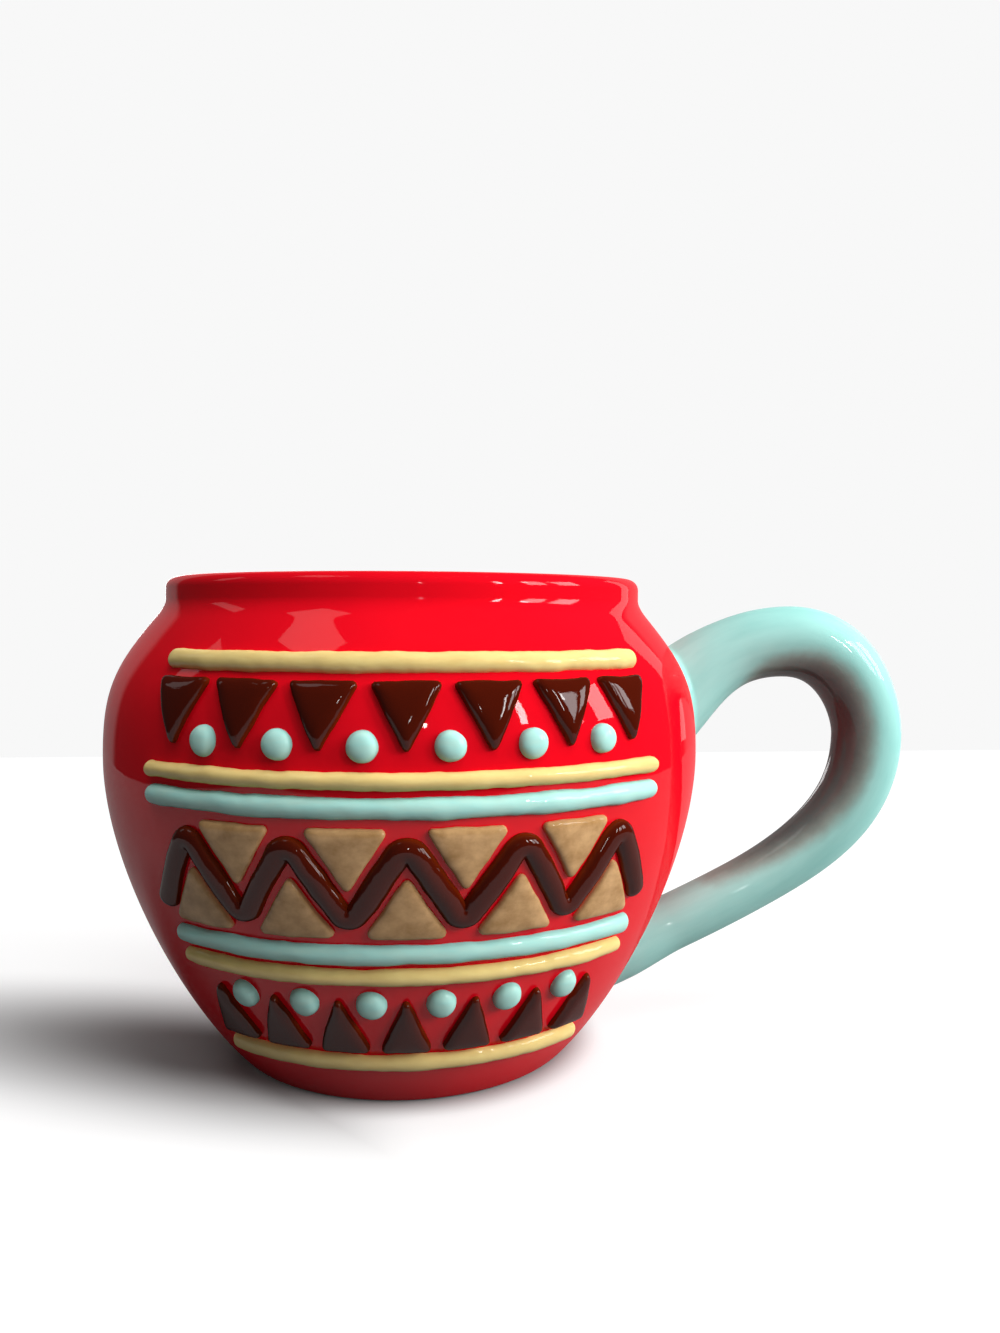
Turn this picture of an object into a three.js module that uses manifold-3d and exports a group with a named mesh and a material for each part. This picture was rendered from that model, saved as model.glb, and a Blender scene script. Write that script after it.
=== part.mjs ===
// Pot-bellied coffee mug: a cast pot with a short collar, a rolled loop handle
// and a raised slip frieze on its front.
// Millimetres, +Z up. The frieze faces -Y and the handle points to +X.
// The origin is the middle of the mug's outline, on the surface that it stands on.

import * as THREE from 'three';
import { mergeVertices } from 'three/addons/utils/BufferGeometryUtils.js';
import Module from 'manifold-3d';

// Pot, outside
const rimHeight = 86;
const bellyRadius = 54;
const bellyHeight = 54.5;
const footRadius = 31.4;
const footEdge = 0.8;              // height of the rounded edge round the foot
const footFlareAngle = 46;         // degrees from level at which the wall leaves the foot
const collarRadius = 43.3;
const collarHeight = 7;            // from the top of the shoulder to the rim
const collarFlare = 1.6;           // how far the top of the shoulder stands out from the collar
const collarFillet = 1.2;          // height of the hollow's upper end, where the collar runs upright
const shoulderAngle = 51;          // degrees from level at which the shoulder meets the collar
const lipRound = 2;

// How full each end of the belly's two curves is, as a share of the curve's rise
const footFullness = 0.27;
const lowerBellyFullness = 0.336;
const upperBellyFullness = 0.49;
const shoulderFullness = 0.45;

// Pot, inside and underside
const wallThickness = 4;
const floorThickness = 6;
const floorRound = 8;
const footRingWidth = 5;
const footRecess = 2.2;
const footRecessSlope = 1.2;       // how far the recess draws in over its depth

// Handle: sizes from the belly outwards, and from the rim down or the table up
const handleProjection = 42.9;     // from the belly to the outside of the loop
const handleTopDrop = 5;           // from the rim down to the top of the loop
const handleCrownOut = 19.8;       // from the belly to the loop's highest point
const handleOuterHeight = 56.4;    // height of the loop's outermost point
const upperRootDrop = 24;          // from the rim down to the upper root
const upperRootAngle = 50;         // degrees from level at which the handle rises from its root
const upperRootInset = 3.9;        // depth of the upper root's centre below the wall
const lowerRootHeight = 14.6;
const lowerRootAngle = 24;
const lowerRootInset = 0.9;
const upperRootThickness = 16.4;
const crownThickness = 13.3;
const upperBendThickness = 14.1;   // between the crown and the loop's outermost point
const bendThickness = 13.1;
const tailThickness = 10.7;
const lowerRootThickness = 12.4;
const upperRootEmbed = 8;          // straight length inside the wall, which the seat then cuts off
const lowerRootEmbed = 11;

// How full each end of the handle's three curves is, as a share of the span that it crosses
const upperRootFullness = 0.5;
const crownInnerFullness = 0.35;
const crownOuterFullness = 0.78;
const bendUpperFullness = 0.28;
const bendLowerFullness = 0.475;
const tailFullness = 0.68;

// Where along the loop, as a share of its length, each thickness is reached
const crownShare = 0.15;
const upperBendShare = 0.3;
const bendShare = 0.45;
const tailStartShare = 0.78;
const tailEndShare = 0.9;

// Frieze: rows stacked from the lower border line to the upper one
const friezeHalfAngle = 46;        // degrees to either side of the front
const friezeFootMargin = 8.8;      // from the table to the lower border line
const friezeShoulderMargin = 5;    // from the top of the shoulder down to the upper border line
const borderLineWidth = 2.8;
const innerLineWidth = 2.6;
const turquoiseLineWidth = 3.2;
const rowGap = 1.2;
const lineGap = 0.9;               // between an inner line and the turquoise line beside it
const toothTipGap = 2.2;           // between a tooth's tip and the inner line
const toothCount = 7;
const toothGap = 0.9;              // between neighbouring teeth, along the wall
const toothCornerRound = 0.9;
const dotRadius = 2.3;
const dotTipRise = 1.4;            // how far a dot's centre lies from the level of the teeth's tips
const zigzagBandHeight = 16.6;
const zigzagCount = 5;
const zigzagWidth = 3.8;
const zigzagCornerRound = 2.6;
const fillGap = 0.9;               // between the zigzag and the fills beside it
const fillCornerRound = 1.1;
const lineEndRound = 1.1;

// Frieze, how far each kind of slip stands proud
const lineThickness = 1.2;
const toothThickness = 1.3;
const dotThickness = 1.4;
const fillThickness = 0.9;
const zigzagThickness = 1.4;

// Frieze, how the slip's edges round over, as shares of its width and thickness
const patchEdgeRise = 0.5;         // where a patch's upright edge ends
const patchTopSpread = 0.78;       // how much of a patch is at its full thickness
const lineEndNarrowing = 0.55;
const lineSection = [              // across the line, and up from the wall
  [-0.5, 0],
  [0.5, 0],
  [0.5, 0.45],
  [0.32, 0.88],
  [0, 1],
  [-0.32, 0.88],
  [-0.5, 0.45],
];

// Clearance between the pot's wall and what is luted to it
const seatGap = 0.3;

// Facets, and how often a height is halved in on
const potSegments = 56;
const lowerWallSteps = 11;
const upperWallSteps = 8;
const filletSteps = 2;
const handleSteps = 12;            // for each of its three curves
const handleSides = 14;
const lineSteps = 18;
const motifPoints = 15;
const dotPoints = 10;
const heightHalvings = 40;
const weldDistance = 1e-4;

const redGlaze = new THREE.MeshStandardMaterial({ color: '#df0619', roughness: 0.12, metalness: 0 });
const turquoiseGlaze = new THREE.MeshStandardMaterial({ color: '#9fdcd5', roughness: 0.18, metalness: 0 });
const brownSlip = new THREE.MeshStandardMaterial({ color: '#3d1206', roughness: 0.12, metalness: 0 });
const taupeSlip = new THREE.MeshStandardMaterial({ color: '#a08058', roughness: 0.25, metalness: 0 });
const creamSlip = new THREE.MeshStandardMaterial({ color: '#f6dfa0', roughness: 0.22, metalness: 0 });

const radians = THREE.MathUtils.degToRad;
const wasm = await Module();
wasm.setup();

// Points in the half-plane of radius and height
function at(radius, height) {
  return new THREE.Vector2(radius, height);
}

function towards(start, angle, reach) {
  const turn = radians(angle);
  return at(start.x + reach * Math.cos(turn), start.y + reach * Math.sin(turn));
}

// A point of a curve, moved square to it, away from the axis on a curve that climbs
function offsetPoint(curve, share, distance) {
  const point = curve.getPoint(share);
  const tangent = curve.getTangent(share);
  return at(point.x + distance * tangent.y, point.y - distance * tangent.x);
}

function offsetPoints(curve, steps, distance) {
  return Array.from({ length: steps + 1 }, (_, i) => offsetPoint(curve, i / steps, distance));
}

// The pot's wall, from the foot to the belly and on to the shoulder and the collar
const shoulderHeight = rimHeight - collarHeight;
const lowerRise = bellyHeight - footEdge;
const upperRise = shoulderHeight - bellyHeight;
const footTop = at(footRadius, footEdge);
const belly = at(bellyRadius, bellyHeight);
const shoulder = at(collarRadius + collarFlare, shoulderHeight);

const lowerWall = new THREE.CubicBezierCurve(
  footTop,
  towards(footTop, footFlareAngle, footFullness * lowerRise),
  at(bellyRadius, bellyHeight - lowerBellyFullness * lowerRise),
  belly,
);
const upperWall = new THREE.CubicBezierCurve(
  belly,
  at(bellyRadius, bellyHeight + upperBellyFullness * upperRise),
  towards(shoulder, -shoulderAngle, shoulderFullness * upperRise),
  shoulder,
);

// The hollow that turns from the shoulder's slope into an upright wall of the given radius
function collarHollow(start, radius) {
  const corner = at(radius, start.y + (start.x - radius) * Math.tan(radians(shoulderAngle)));
  return new THREE.QuadraticBezierCurve(start, corner, at(radius, corner.y + collarFillet));
}

// The wall's radius and outward direction at a height, by halving the share of the curve
function wallAt(height) {
  const curve = height < bellyHeight ? lowerWall : upperWall;
  let low = 0;
  let high = 1;
  for (let i = 0; i < heightHalvings; i += 1) {
    const middle = (low + high) / 2;
    if (curve.getPoint(middle).y < height) low = middle;
    else high = middle;
  }
  const tangent = curve.getTangent(low);
  return { radius: curve.getPoint(low).x, outward: at(tangent.y, -tangent.x) };
}

// A point above the wall. The angle is in radians from the front, towards the handle.
function abovePot(angle, height, lift) {
  const { radius, outward } = wallAt(height);
  const reach = radius + lift * outward.x;
  return new THREE.Vector3(reach * Math.sin(angle), -reach * Math.cos(angle), height + lift * outward.y);
}

// Outside of the pot from foot to collar, grown outwards by a clearance
function outsidePoints(grow) {
  return [
    ...offsetPoints(lowerWall, lowerWallSteps, grow),
    ...offsetPoints(upperWall, upperWallSteps, grow).slice(1),
    ...offsetPoints(collarHollow(shoulder, collarRadius), filletSteps, grow).slice(1),
  ];
}

function potProfile() {
  const footCorner = at(footRadius - footEdge / Math.tan(radians(footFlareAngle)), 0);
  const footContact = at(footCorner.x - footEdge, 0);
  const footEdgeCurve = new THREE.QuadraticBezierCurve(footContact, footCorner, footTop);
  const ringInside = footContact.x - footRingWidth;
  const underside = [
    at(0, footRecess),
    at(ringInside - footRecessSlope, footRecess),
    at(ringInside, 0),
    ...footEdgeCurve.getPoints(filletSteps).slice(0, -1),
  ];

  const round = Math.min(lipRound, wallThickness / 2);
  const mouthRadius = collarRadius - wallThickness;
  const lip = new THREE.Path()
    .absarc(collarRadius - round, rimHeight - round, round, 0, Math.PI / 2)
    .absarc(mouthRadius + round, rimHeight - round, round, Math.PI / 2, Math.PI)
    .getPoints(filletSteps);

  const floorHeight = footRecess + floorThickness;
  const innerShoulder = offsetPoint(upperWall, 1, -wallThickness);
  const innerWall = [
    ...collarHollow(innerShoulder, mouthRadius).getPoints(filletSteps).reverse(),
    ...offsetPoints(upperWall, upperWallSteps, -wallThickness).reverse().slice(1),
    ...offsetPoints(lowerWall, lowerWallSteps, -wallThickness).reverse().slice(1),
  ].filter((point) => point.y > floorHeight + floorRound);

  const [before, last] = innerWall.slice(-2);
  const inwardsPerDrop = (before.x - last.x) / (before.y - last.y);
  const floorCorner = at(last.x - inwardsPerDrop * (last.y - floorHeight), floorHeight);
  const floorEdge = at(floorCorner.x - floorRound, floorHeight);
  const floorCurve = new THREE.QuadraticBezierCurve(last, floorCorner, floorEdge);

  return [
    ...underside,
    ...outsidePoints(0),
    ...lip,
    ...innerWall,
    ...floorCurve.getPoints(filletSteps).slice(1),
    at(0, floorHeight),
  ];
}

// Joins shared corners and drops the triangles that have no area, as at a lathe's axis
function weld(geometry) {
  geometry.deleteAttribute('normal');
  geometry.deleteAttribute('uv');
  const welded = mergeVertices(geometry, weldDistance);
  const index = welded.getIndex().array;
  const kept = [];
  for (let i = 0; i < index.length; i += 3) {
    const [a, b, c] = index.slice(i, i + 3);
    if (a !== b && b !== c && c !== a) kept.push(a, b, c);
  }
  welded.setIndex(kept);
  return welded;
}

function turned(profile) {
  return weld(new THREE.LatheGeometry(profile, potSegments).rotateX(Math.PI / 2));
}

// A closed skin over rings of points, with a point at each end. Each ring turns
// anticlockwise as seen from the end that the rings lead to.
function skin(startPoint, rings, endPoint) {
  const sides = rings[0].length;
  const points = [startPoint, ...rings.flat(), endPoint];
  const endIndex = points.length - 1;
  const index = [];
  for (let side = 0; side < sides; side += 1) {
    const next = (side + 1) % sides;
    index.push(0, 1 + next, 1 + side);
    for (let ring = 0; ring < rings.length - 1; ring += 1) {
      const here = 1 + ring * sides;
      const there = here + sides;
      index.push(here + side, here + next, there + next);
      index.push(here + side, there + next, there + side);
    }
    const lastRing = endIndex - sides;
    index.push(lastRing + side, lastRing + next, endIndex);
  }
  const geometry = new THREE.BufferGeometry().setFromPoints(points);
  geometry.setIndex(index);
  return geometry;
}

function middleOf(points) {
  const sum = points.reduce((total, point) => total.add(point), new THREE.Vector3());
  return sum.divideScalar(points.length);
}

function toSolid(geometry) {
  const vertProperties = new Float32Array(geometry.getAttribute('position').array);
  const triVerts = new Uint32Array(geometry.getIndex().array);
  return new wasm.Manifold(new wasm.Mesh({ numProp: 3, vertProperties, triVerts }));
}

function toGeometry(solid) {
  const mesh = solid.getMesh();
  const geometry = new THREE.BufferGeometry();
  geometry.setAttribute('position', new THREE.BufferAttribute(mesh.vertProperties, 3));
  geometry.setIndex(new THREE.BufferAttribute(mesh.triVerts, 1));
  return geometry;
}

// The handle's centre line, in the upright plane through the axis
function handleCurves() {
  const upperHeight = rimHeight - upperRootDrop;
  const upperRoot = at(wallAt(upperHeight).radius - upperRootInset, upperHeight);
  const lowerRoot = at(wallAt(lowerRootHeight).radius - lowerRootInset, lowerRootHeight);
  const crown = at(bellyRadius + handleCrownOut, rimHeight - handleTopDrop - crownThickness / 2);
  const outer = at(bellyRadius + handleProjection - bendThickness / 2, handleOuterHeight);
  const rootSpan = crown.x - upperRoot.x;
  const crownSpan = outer.x - crown.x;
  const bendSpan = crown.y - outer.y;
  const tailSpan = outer.x - lowerRoot.x;
  return [
    new THREE.CubicBezierCurve(
      upperRoot,
      towards(upperRoot, upperRootAngle, upperRootFullness * rootSpan),
      at(crown.x - crownInnerFullness * rootSpan, crown.y),
      crown,
    ),
    new THREE.CubicBezierCurve(
      crown,
      at(crown.x + crownOuterFullness * crownSpan, crown.y),
      at(outer.x, outer.y + bendUpperFullness * bendSpan),
      outer,
    ),
    new THREE.CubicBezierCurve(
      outer,
      at(outer.x, outer.y - bendLowerFullness * (outer.y - lowerRoot.y)),
      towards(lowerRoot, lowerRootAngle, tailFullness * tailSpan),
      lowerRoot,
    ),
  ];
}

// The handle's thickness at a share of its length, easing from one station to the next
function handleThickness(share) {
  const stations = [
    [0, upperRootThickness],
    [crownShare, crownThickness],
    [upperBendShare, upperBendThickness],
    [bendShare, bendThickness],
    [tailStartShare, tailThickness],
    [tailEndShare, tailThickness],
    [1, lowerRootThickness],
  ];
  const next = Math.max(1, stations.findIndex(([place]) => place >= share));
  const [fromShare, fromThickness] = stations[next - 1];
  const [toShare, toThickness] = stations[next];
  const ease = THREE.MathUtils.smoothstep(share, fromShare, toShare);
  return THREE.MathUtils.lerp(fromThickness, toThickness, ease);
}

function handleGeometry() {
  const curves = handleCurves();
  const stations = curves.flatMap((curve, order) =>
    Array.from({ length: handleSteps + 1 }, (_, i) => i / handleSteps)
      .slice(order === 0 ? 0 : 1)
      .map((share) => ({ centre: curve.getPointAt(share), along: curve.getTangentAt(share) })));
  const first = stations[0];
  const last = stations.at(-1);
  stations.unshift({
    centre: first.centre.clone().addScaledVector(first.along, -upperRootEmbed),
    along: first.along,
  });
  stations.push({
    centre: last.centre.clone().addScaledVector(last.along, lowerRootEmbed),
    along: last.along,
  });

  const total = curves.reduce((sum, curve) => sum + curve.getLength(), 0);
  let travelled = -upperRootEmbed;
  const rings = stations.map(({ centre, along }, i) => {
    if (i > 0) travelled += centre.distanceTo(stations[i - 1].centre);
    const share = THREE.MathUtils.clamp(travelled / total, 0, 1);
    const radius = handleThickness(share) / 2;
    return Array.from({ length: handleSides }, (_, side) => {
      const turn = (2 * Math.PI * side) / handleSides;
      const across = radius * Math.cos(turn);
      return new THREE.Vector3(
        centre.x + across * along.y,
        radius * Math.sin(turn),
        centre.y - across * along.x,
      );
    });
  });
  const tube = skin(middleOf(rings[0]), rings, middleOf(rings.at(-1)));
  const seat = turned([
    at(0, -seatGap),
    at(footRadius, -seatGap),
    ...outsidePoints(seatGap),
    at(collarRadius + seatGap, rimHeight + seatGap),
    at(0, rimHeight + seatGap),
  ]);
  return toGeometry(toSolid(tube).subtract(toSolid(seat)));
}

// A line of slip along points on the wall, with a domed section and narrowed ends.
// Each point has an angle from the front, in radians, and a height.
function trailedLine(path, width, thickness) {
  const rings = path.map(({ x: angle, y: height }, i) => {
    const before = path[Math.max(0, i - 1)];
    const after = path[Math.min(path.length - 1, i + 1)];
    const radius = wallAt(height).radius;
    const travel = at((after.x - before.x) * radius, after.y - before.y).normalize();
    const narrow = i === 0 || i === path.length - 1 ? lineEndNarrowing : 1;
    return lineSection.map(([across, rise]) => {
      const shift = across * width * narrow;
      return abovePot(
        angle - (shift * travel.y) / radius,
        height + shift * travel.x,
        seatGap + rise * thickness * narrow,
      );
    });
  });
  return skin(middleOf(rings[0]), rings, middleOf(rings.at(-1)));
}

// A filled patch of slip with a rounded edge. The outline runs anticlockwise, as seen
// from outside, in millimetres along and up the wall from the given angle and height.
function filledPatch(angle, height, outline, thickness) {
  const radius = wallAt(height).radius;
  const spread = (share, lift) => outline.map((point) =>
    abovePot(angle + (share * point.x) / radius, height + share * point.y, seatGap + lift));
  const rings = [
    spread(1, 0),
    spread(1, patchEdgeRise * thickness),
    spread(patchTopSpread, thickness),
  ];
  return skin(abovePot(angle, height, seatGap), rings, abovePot(angle, height, seatGap + thickness));
}

// A triangle with rounded corners, about the point a third of the way from its base.
// A negative rise makes it hang down from its base.
function triangleOutline(baseWidth, rise, round) {
  const corners = [
    at(-baseWidth / 2, -rise / 3),
    at(baseWidth / 2, -rise / 3),
    at(0, (rise * 2) / 3),
  ];
  if (rise < 0) corners.reverse();
  const shape = new THREE.Shape();
  corners.forEach((corner, i) => {
    const before = corners[(i + 2) % 3];
    const after = corners[(i + 1) % 3];
    const enter = corner.clone().add(before.clone().sub(corner).setLength(round));
    const leave = corner.clone().add(after.clone().sub(corner).setLength(round));
    if (i === 0) shape.moveTo(enter.x, enter.y);
    else shape.lineTo(enter.x, enter.y);
    shape.quadraticCurveTo(corner.x, corner.y, leave.x, leave.y);
  });
  shape.closePath();
  return shape.getSpacedPoints(motifPoints).slice(0, motifPoints);
}

function dotOutline() {
  return Array.from({ length: dotPoints }, (_, i) => towards(at(0, 0), (360 * i) / dotPoints, dotRadius));
}

// The two halves of the frieze are alike, one above and one below the zigzag band
const halfAngle = radians(friezeHalfAngle);
const friezeBottom = friezeFootMargin;
const friezeTop = shoulderHeight - friezeShoulderMargin;
const bandBottom = (friezeBottom + friezeTop - zigzagBandHeight) / 2;
const bandTop = bandBottom + zigzagBandHeight;
const turquoiseLineOut = rowGap + turquoiseLineWidth / 2;
const innerLineOut = rowGap + turquoiseLineWidth + lineGap + innerLineWidth / 2;
const toothTipOut = innerLineOut + innerLineWidth / 2 + toothTipGap;
const toothBaseOut = bandBottom - friezeBottom - borderLineWidth - rowGap;
const toothHeight = toothBaseOut - toothTipOut;
const toothPitch = (2 * halfAngle) / toothCount;

const mug = new THREE.Group();

function add(name, geometry, material) {
  const mesh = new THREE.Mesh(geometry, material);
  mesh.name = name;
  mug.add(mesh);
}

function addLine(name, height, width, material) {
  const endAngle = lineEndRound / wallAt(height).radius;
  const inner = halfAngle - endAngle;
  const angles = Array.from({ length: lineSteps + 1 }, (_, i) => inner * ((2 * i) / lineSteps - 1));
  const path = [-halfAngle, ...angles, halfAngle].map((angle) => at(angle, height));
  add(name, trailedLine(path, width, lineThickness), material);
}

// One half of the frieze. Outwards is up for the upper half and down for the lower one.
function addHalf(side, edge, outwards) {
  const level = (distance) => edge + outwards * distance;
  addLine(`${side}_turquoise_line`, level(turquoiseLineOut), turquoiseLineWidth, turquoiseGlaze);
  addLine(`${side}_inner_line`, level(innerLineOut), innerLineWidth, creamSlip);
  const borderOut = toothBaseOut + rowGap + borderLineWidth / 2;
  addLine(`${side}_border_line`, level(borderOut), borderLineWidth, creamSlip);

  const baseHeight = level(toothBaseOut);
  const baseWidth = toothPitch * wallAt(baseHeight).radius - toothGap;
  const tooth = triangleOutline(baseWidth, -outwards * toothHeight, toothCornerRound);
  const toothMiddle = baseHeight - (outwards * toothHeight) / 3;
  for (let i = 0; i < toothCount; i += 1) {
    const angle = (i - (toothCount - 1) / 2) * toothPitch;
    add(`${side}_tooth_${i + 1}`, filledPatch(angle, toothMiddle, tooth, toothThickness), brownSlip);
  }

  const dotHeight = level(toothTipOut + dotTipRise);
  for (let i = 0; i < toothCount - 1; i += 1) {
    const angle = (i - toothCount / 2 + 1) * toothPitch;
    add(`${side}_dot_${i + 1}`, filledPatch(angle, dotHeight, dotOutline(), dotThickness), turquoiseGlaze);
  }
}

// A zigzag with rounded corners across the band, and a fill in each bay that it makes
function addZigzagBand() {
  const middle = (bandBottom + bandTop) / 2;
  const radius = wallAt(middle).radius;
  const halfStep = (halfAngle * radius) / zigzagCount;
  const low = bandBottom + zigzagWidth / 2;
  const high = bandTop - zigzagWidth / 2;
  const corners = Array.from({ length: 2 * zigzagCount + 1 }, (_, i) =>
    at((i - zigzagCount) * halfStep, i % 2 === 0 ? low : high));

  const route = new THREE.Path();
  route.moveTo(corners[0].x, corners[0].y);
  for (let i = 1; i < corners.length - 1; i += 1) {
    const corner = corners[i];
    const enter = corner.clone().add(corners[i - 1].clone().sub(corner).setLength(zigzagCornerRound));
    const leave = corner.clone().add(corners[i + 1].clone().sub(corner).setLength(zigzagCornerRound));
    route.lineTo(enter.x, enter.y);
    route.quadraticCurveTo(corner.x, corner.y, leave.x, leave.y);
  }
  route.lineTo(corners.at(-1).x, corners.at(-1).y);
  const path = route.getPoints(filletSteps + 1).map((point) => at(point.x / radius, point.y));
  add('zigzag', trailedLine(path, zigzagWidth, zigzagThickness), brownSlip);

  const climb = high - low;
  const slant = Math.atan2(climb, halfStep);
  const inset = (zigzagWidth / 2 + fillGap) / Math.sin(slant);
  const fillRise = (halfStep - inset) * Math.tan(slant) + zigzagWidth / 2;
  const fillWidth = (2 * fillRise) / Math.tan(slant);
  for (let i = 1; i < corners.length - 1; i += 1) {
    const stands = i % 2 === 1;
    const rise = stands ? fillRise : -fillRise;
    const base = stands ? bandBottom : bandTop;
    const outline = triangleOutline(fillWidth, rise, fillCornerRound);
    const geometry = filledPatch(corners[i].x / radius, base + rise / 3, outline, fillThickness);
    add(`taupe_fill_${i}`, geometry, taupeSlip);
  }
}

add('mug_body', turned(potProfile()), redGlaze);
add('handle', handleGeometry(), turquoiseGlaze);
addHalf('upper', bandTop, 1);
addHalf('lower', bandBottom, -1);
addZigzagBand();

// The handle reaches further than the pot, and the frieze stands proud of the belly
mug.position.set(-handleProjection / 2, (seatGap + lineThickness) / 2, 0);
mug.updateMatrixWorld(true);

export default mug;
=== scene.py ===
"""Looks of a pot-bellied coffee mug: glazed pot, rolled handle and a raised slip frieze.

Metres, +Z up. The frieze faces -Y and the handle points to +X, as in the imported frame.
"""

import math
from typing import NamedTuple

import bpy
import numpy as np
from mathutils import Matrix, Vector


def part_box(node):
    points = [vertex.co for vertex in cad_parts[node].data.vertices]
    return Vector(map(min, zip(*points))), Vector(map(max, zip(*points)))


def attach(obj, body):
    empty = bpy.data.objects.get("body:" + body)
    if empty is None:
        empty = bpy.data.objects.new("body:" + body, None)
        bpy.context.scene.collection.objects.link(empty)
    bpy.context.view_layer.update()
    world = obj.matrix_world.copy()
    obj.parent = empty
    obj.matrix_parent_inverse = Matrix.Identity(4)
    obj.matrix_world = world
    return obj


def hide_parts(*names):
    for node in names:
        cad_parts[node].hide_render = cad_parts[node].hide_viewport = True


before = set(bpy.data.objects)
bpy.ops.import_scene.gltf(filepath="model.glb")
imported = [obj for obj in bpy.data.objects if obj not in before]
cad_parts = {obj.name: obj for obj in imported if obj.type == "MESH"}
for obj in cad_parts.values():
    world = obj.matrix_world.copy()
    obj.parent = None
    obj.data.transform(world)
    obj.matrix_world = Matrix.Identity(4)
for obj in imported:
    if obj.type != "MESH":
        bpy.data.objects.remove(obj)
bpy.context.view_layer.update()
pot_low, pot_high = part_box("mug_body")
_, handle_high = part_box("handle")

bl_info = {
    "name": "Frieze Mug",
    "version": (1, 0, 0),
    "blender": (4, 5, 0),
    "location": "3D View > Sidebar > Mug",
    "description": "Builds the glazed pot, its handle, its slip frieze and a pale studio",
    "category": "Object",
}

MM = 0.001
WHITE = (1, 1, 1)
PHOTO_HEIGHT_PX = 1333
SENSOR_MM = 36.0
NEAREST_SEEN = 10 * MM

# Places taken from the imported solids
AXIS = Vector(((pot_low.x + pot_high.x) / 2, (pot_low.y + pot_high.y) / 2, 0.0))
BELLY_RADIUS = (pot_high.x - pot_low.x) / 2
HANDLE_REACH = handle_high.x - AXIS.x

# How finely the pot's section is drawn, along its curves and its straights
BELLY_STEPS = 64
SHOULDER_STEPS = 48
HOLLOW_STEPS = 12
FOOT_STEPS = 8
RING_EDGE_STEPS = 6
FLOOR_ROUND_STEPS = 16
LIP_POINTS = 25
RECESS_POINTS = 12
RING_POINTS = 6
FLOOR_POINTS = 16
POLE_WELD = 0.002 * MM

# How finely the handle is drawn, and how its ends go into the pot
LOOP_STEPS = 120
TAIL_STEPS = 200
HANDLE_STEP = 0.25 * MM
HANDLE_SIDES = 72
HANDLE_RINGS = 181
RUN_ON = 14 * MM
SUNK_SHARE = 0.985
LEAST_SPREAD = 0.3

# Share of the handle's length at which each thickness holds
THICKNESS_STATIONS = (
    (0, "upper_root_thickness"),
    (0.15, "crown_thickness"),
    (0.3, "upper_bend_thickness"),
    (0.45, "bend_thickness"),
    (0.78, "tail_thickness"),
    (0.9, "tail_thickness"),
    (1, "lower_root_thickness"),
)

# Share of the handle's length, and how far from its inner to its outer side the painted shade spreads
# there
PAINTED_SHADE_SPREAD = (
    (0.1, -0.15), (0.17, 0.2), (0.26, 0.32), (0.42, 0.35), (0.55, 0.32),
    (0.66, 0.26), (0.75, 0.15), (0.82, 0.0), (0.88, -0.3),
)
PAINTED_SHADE_SOFTNESS = 0.5

# How finely the slip is drawn, and the share of its width that a line keeps at its very tip
LINE_STEP = 0.3 * MM
LINE_FACETS = 28
LINE_CORNER_STEPS = 12
TIP_SHARE = 0.02
PATCH_CORNER_STEPS = 8
PATCH_POINTS = 73
PATCH_ROWS = 20
PATCH_BACK_ROWS = 2
SEAM_WELD = 0.001 * MM
DOT_CORNERS = 40

# A triangle drawn in a circle of radius 1
TRIANGLE_WIDTH = math.sqrt(3)
TRIANGLE_HEIGHT = 1.5

# Noise seeds, so that no two rows stray alike
LINE_SEED_STEP = 1.7
TOOTH_SEED = 20.0
DOT_SEED = 40.0
ROW_SEED_STEP = 3.3
ZIGZAG_SEED = 60.0
FILL_SEED = 70.0

# Feature sizes of the patterns, in millimetres
STRAY_MM = 4.5
PRESSURE_MM = 9
POOL_MM = 34
RUN_MM = 14
GRIT_MM = 0.9
STROKE_MM = 6
STROKE_LENGTH_MM = 26
CLOUD_MM = 7


class Lamp(NamedTuple):
    """A rectangular window: degrees from the front towards the handle and up, metres and watts.

    A mirrored one shows in the glaze, and the others only give light.
    """

    name: str
    bearing: float
    climb: float
    distance: float
    width: float
    height: float
    power: float
    mirrored: bool


LAMPS = (
    Lamp("front_pane", 43, 23, 1.4, 0.07, 0.4, 3.4, True),
    Lamp("bright_spot", 58, 28, 1.3, 0.09, 0.1, 1.2, True),
    Lamp("middle_pane", 62, 21, 1.4, 0.26, 0.5, 5.6, True),
    Lamp("side_pane", 81, 21, 1.4, 0.34, 0.5, 7.4, True),
    Lamp("skylight", 40, 66, 1.4, 0.8, 0.8, 7.4, False),
    Lamp("ceiling", -50, 78, 1.4, 0.7, 0.7, 2.8, False),
    Lamp("ceiling_panel", -67, 62, 1.4, 0.42, 0.3, 1.0, True),
    Lamp("hall_window", -101, 34, 1.4, 0.2, 0.42, 0.45, True),
    Lamp("side_fill", 100, 6, 1.2, 0.6, 0.5, 2, False),
    Lamp("tall_window", 126, 14, 0.55, 0.09, 0.34, 0.26, True),
    Lamp("front_lamp", 6, 17, 1.0, 0.035, 0.05, 0.4, True),
    Lamp("back_window", -172, 7, 1.4, 0.5, 0.3, 4.5, True),
)


def linear_rgb(hex_code):
    """Linear red, green and blue of an sRGB hex value."""
    channels = [int(hex_code[i:i + 2], 16) / 255 for i in (0, 2, 4)]
    return tuple(c / 12.92 if c <= 0.04045 else ((c + 0.055) / 1.055) ** 2.4 for c in channels)


def length(name, description, default):
    return bpy.props.FloatProperty(name=name, description=description, default=default, unit="LENGTH")


def angle(name, description, degrees):
    return bpy.props.FloatProperty(
        name=name, description=description, default=math.radians(degrees), subtype="ANGLE")


def share(name, description, default):
    return bpy.props.FloatProperty(name=name, description=description, default=default, subtype="FACTOR")


def count(name, description, default):
    return bpy.props.IntProperty(name=name, description=description, default=default, min=1)


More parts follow.
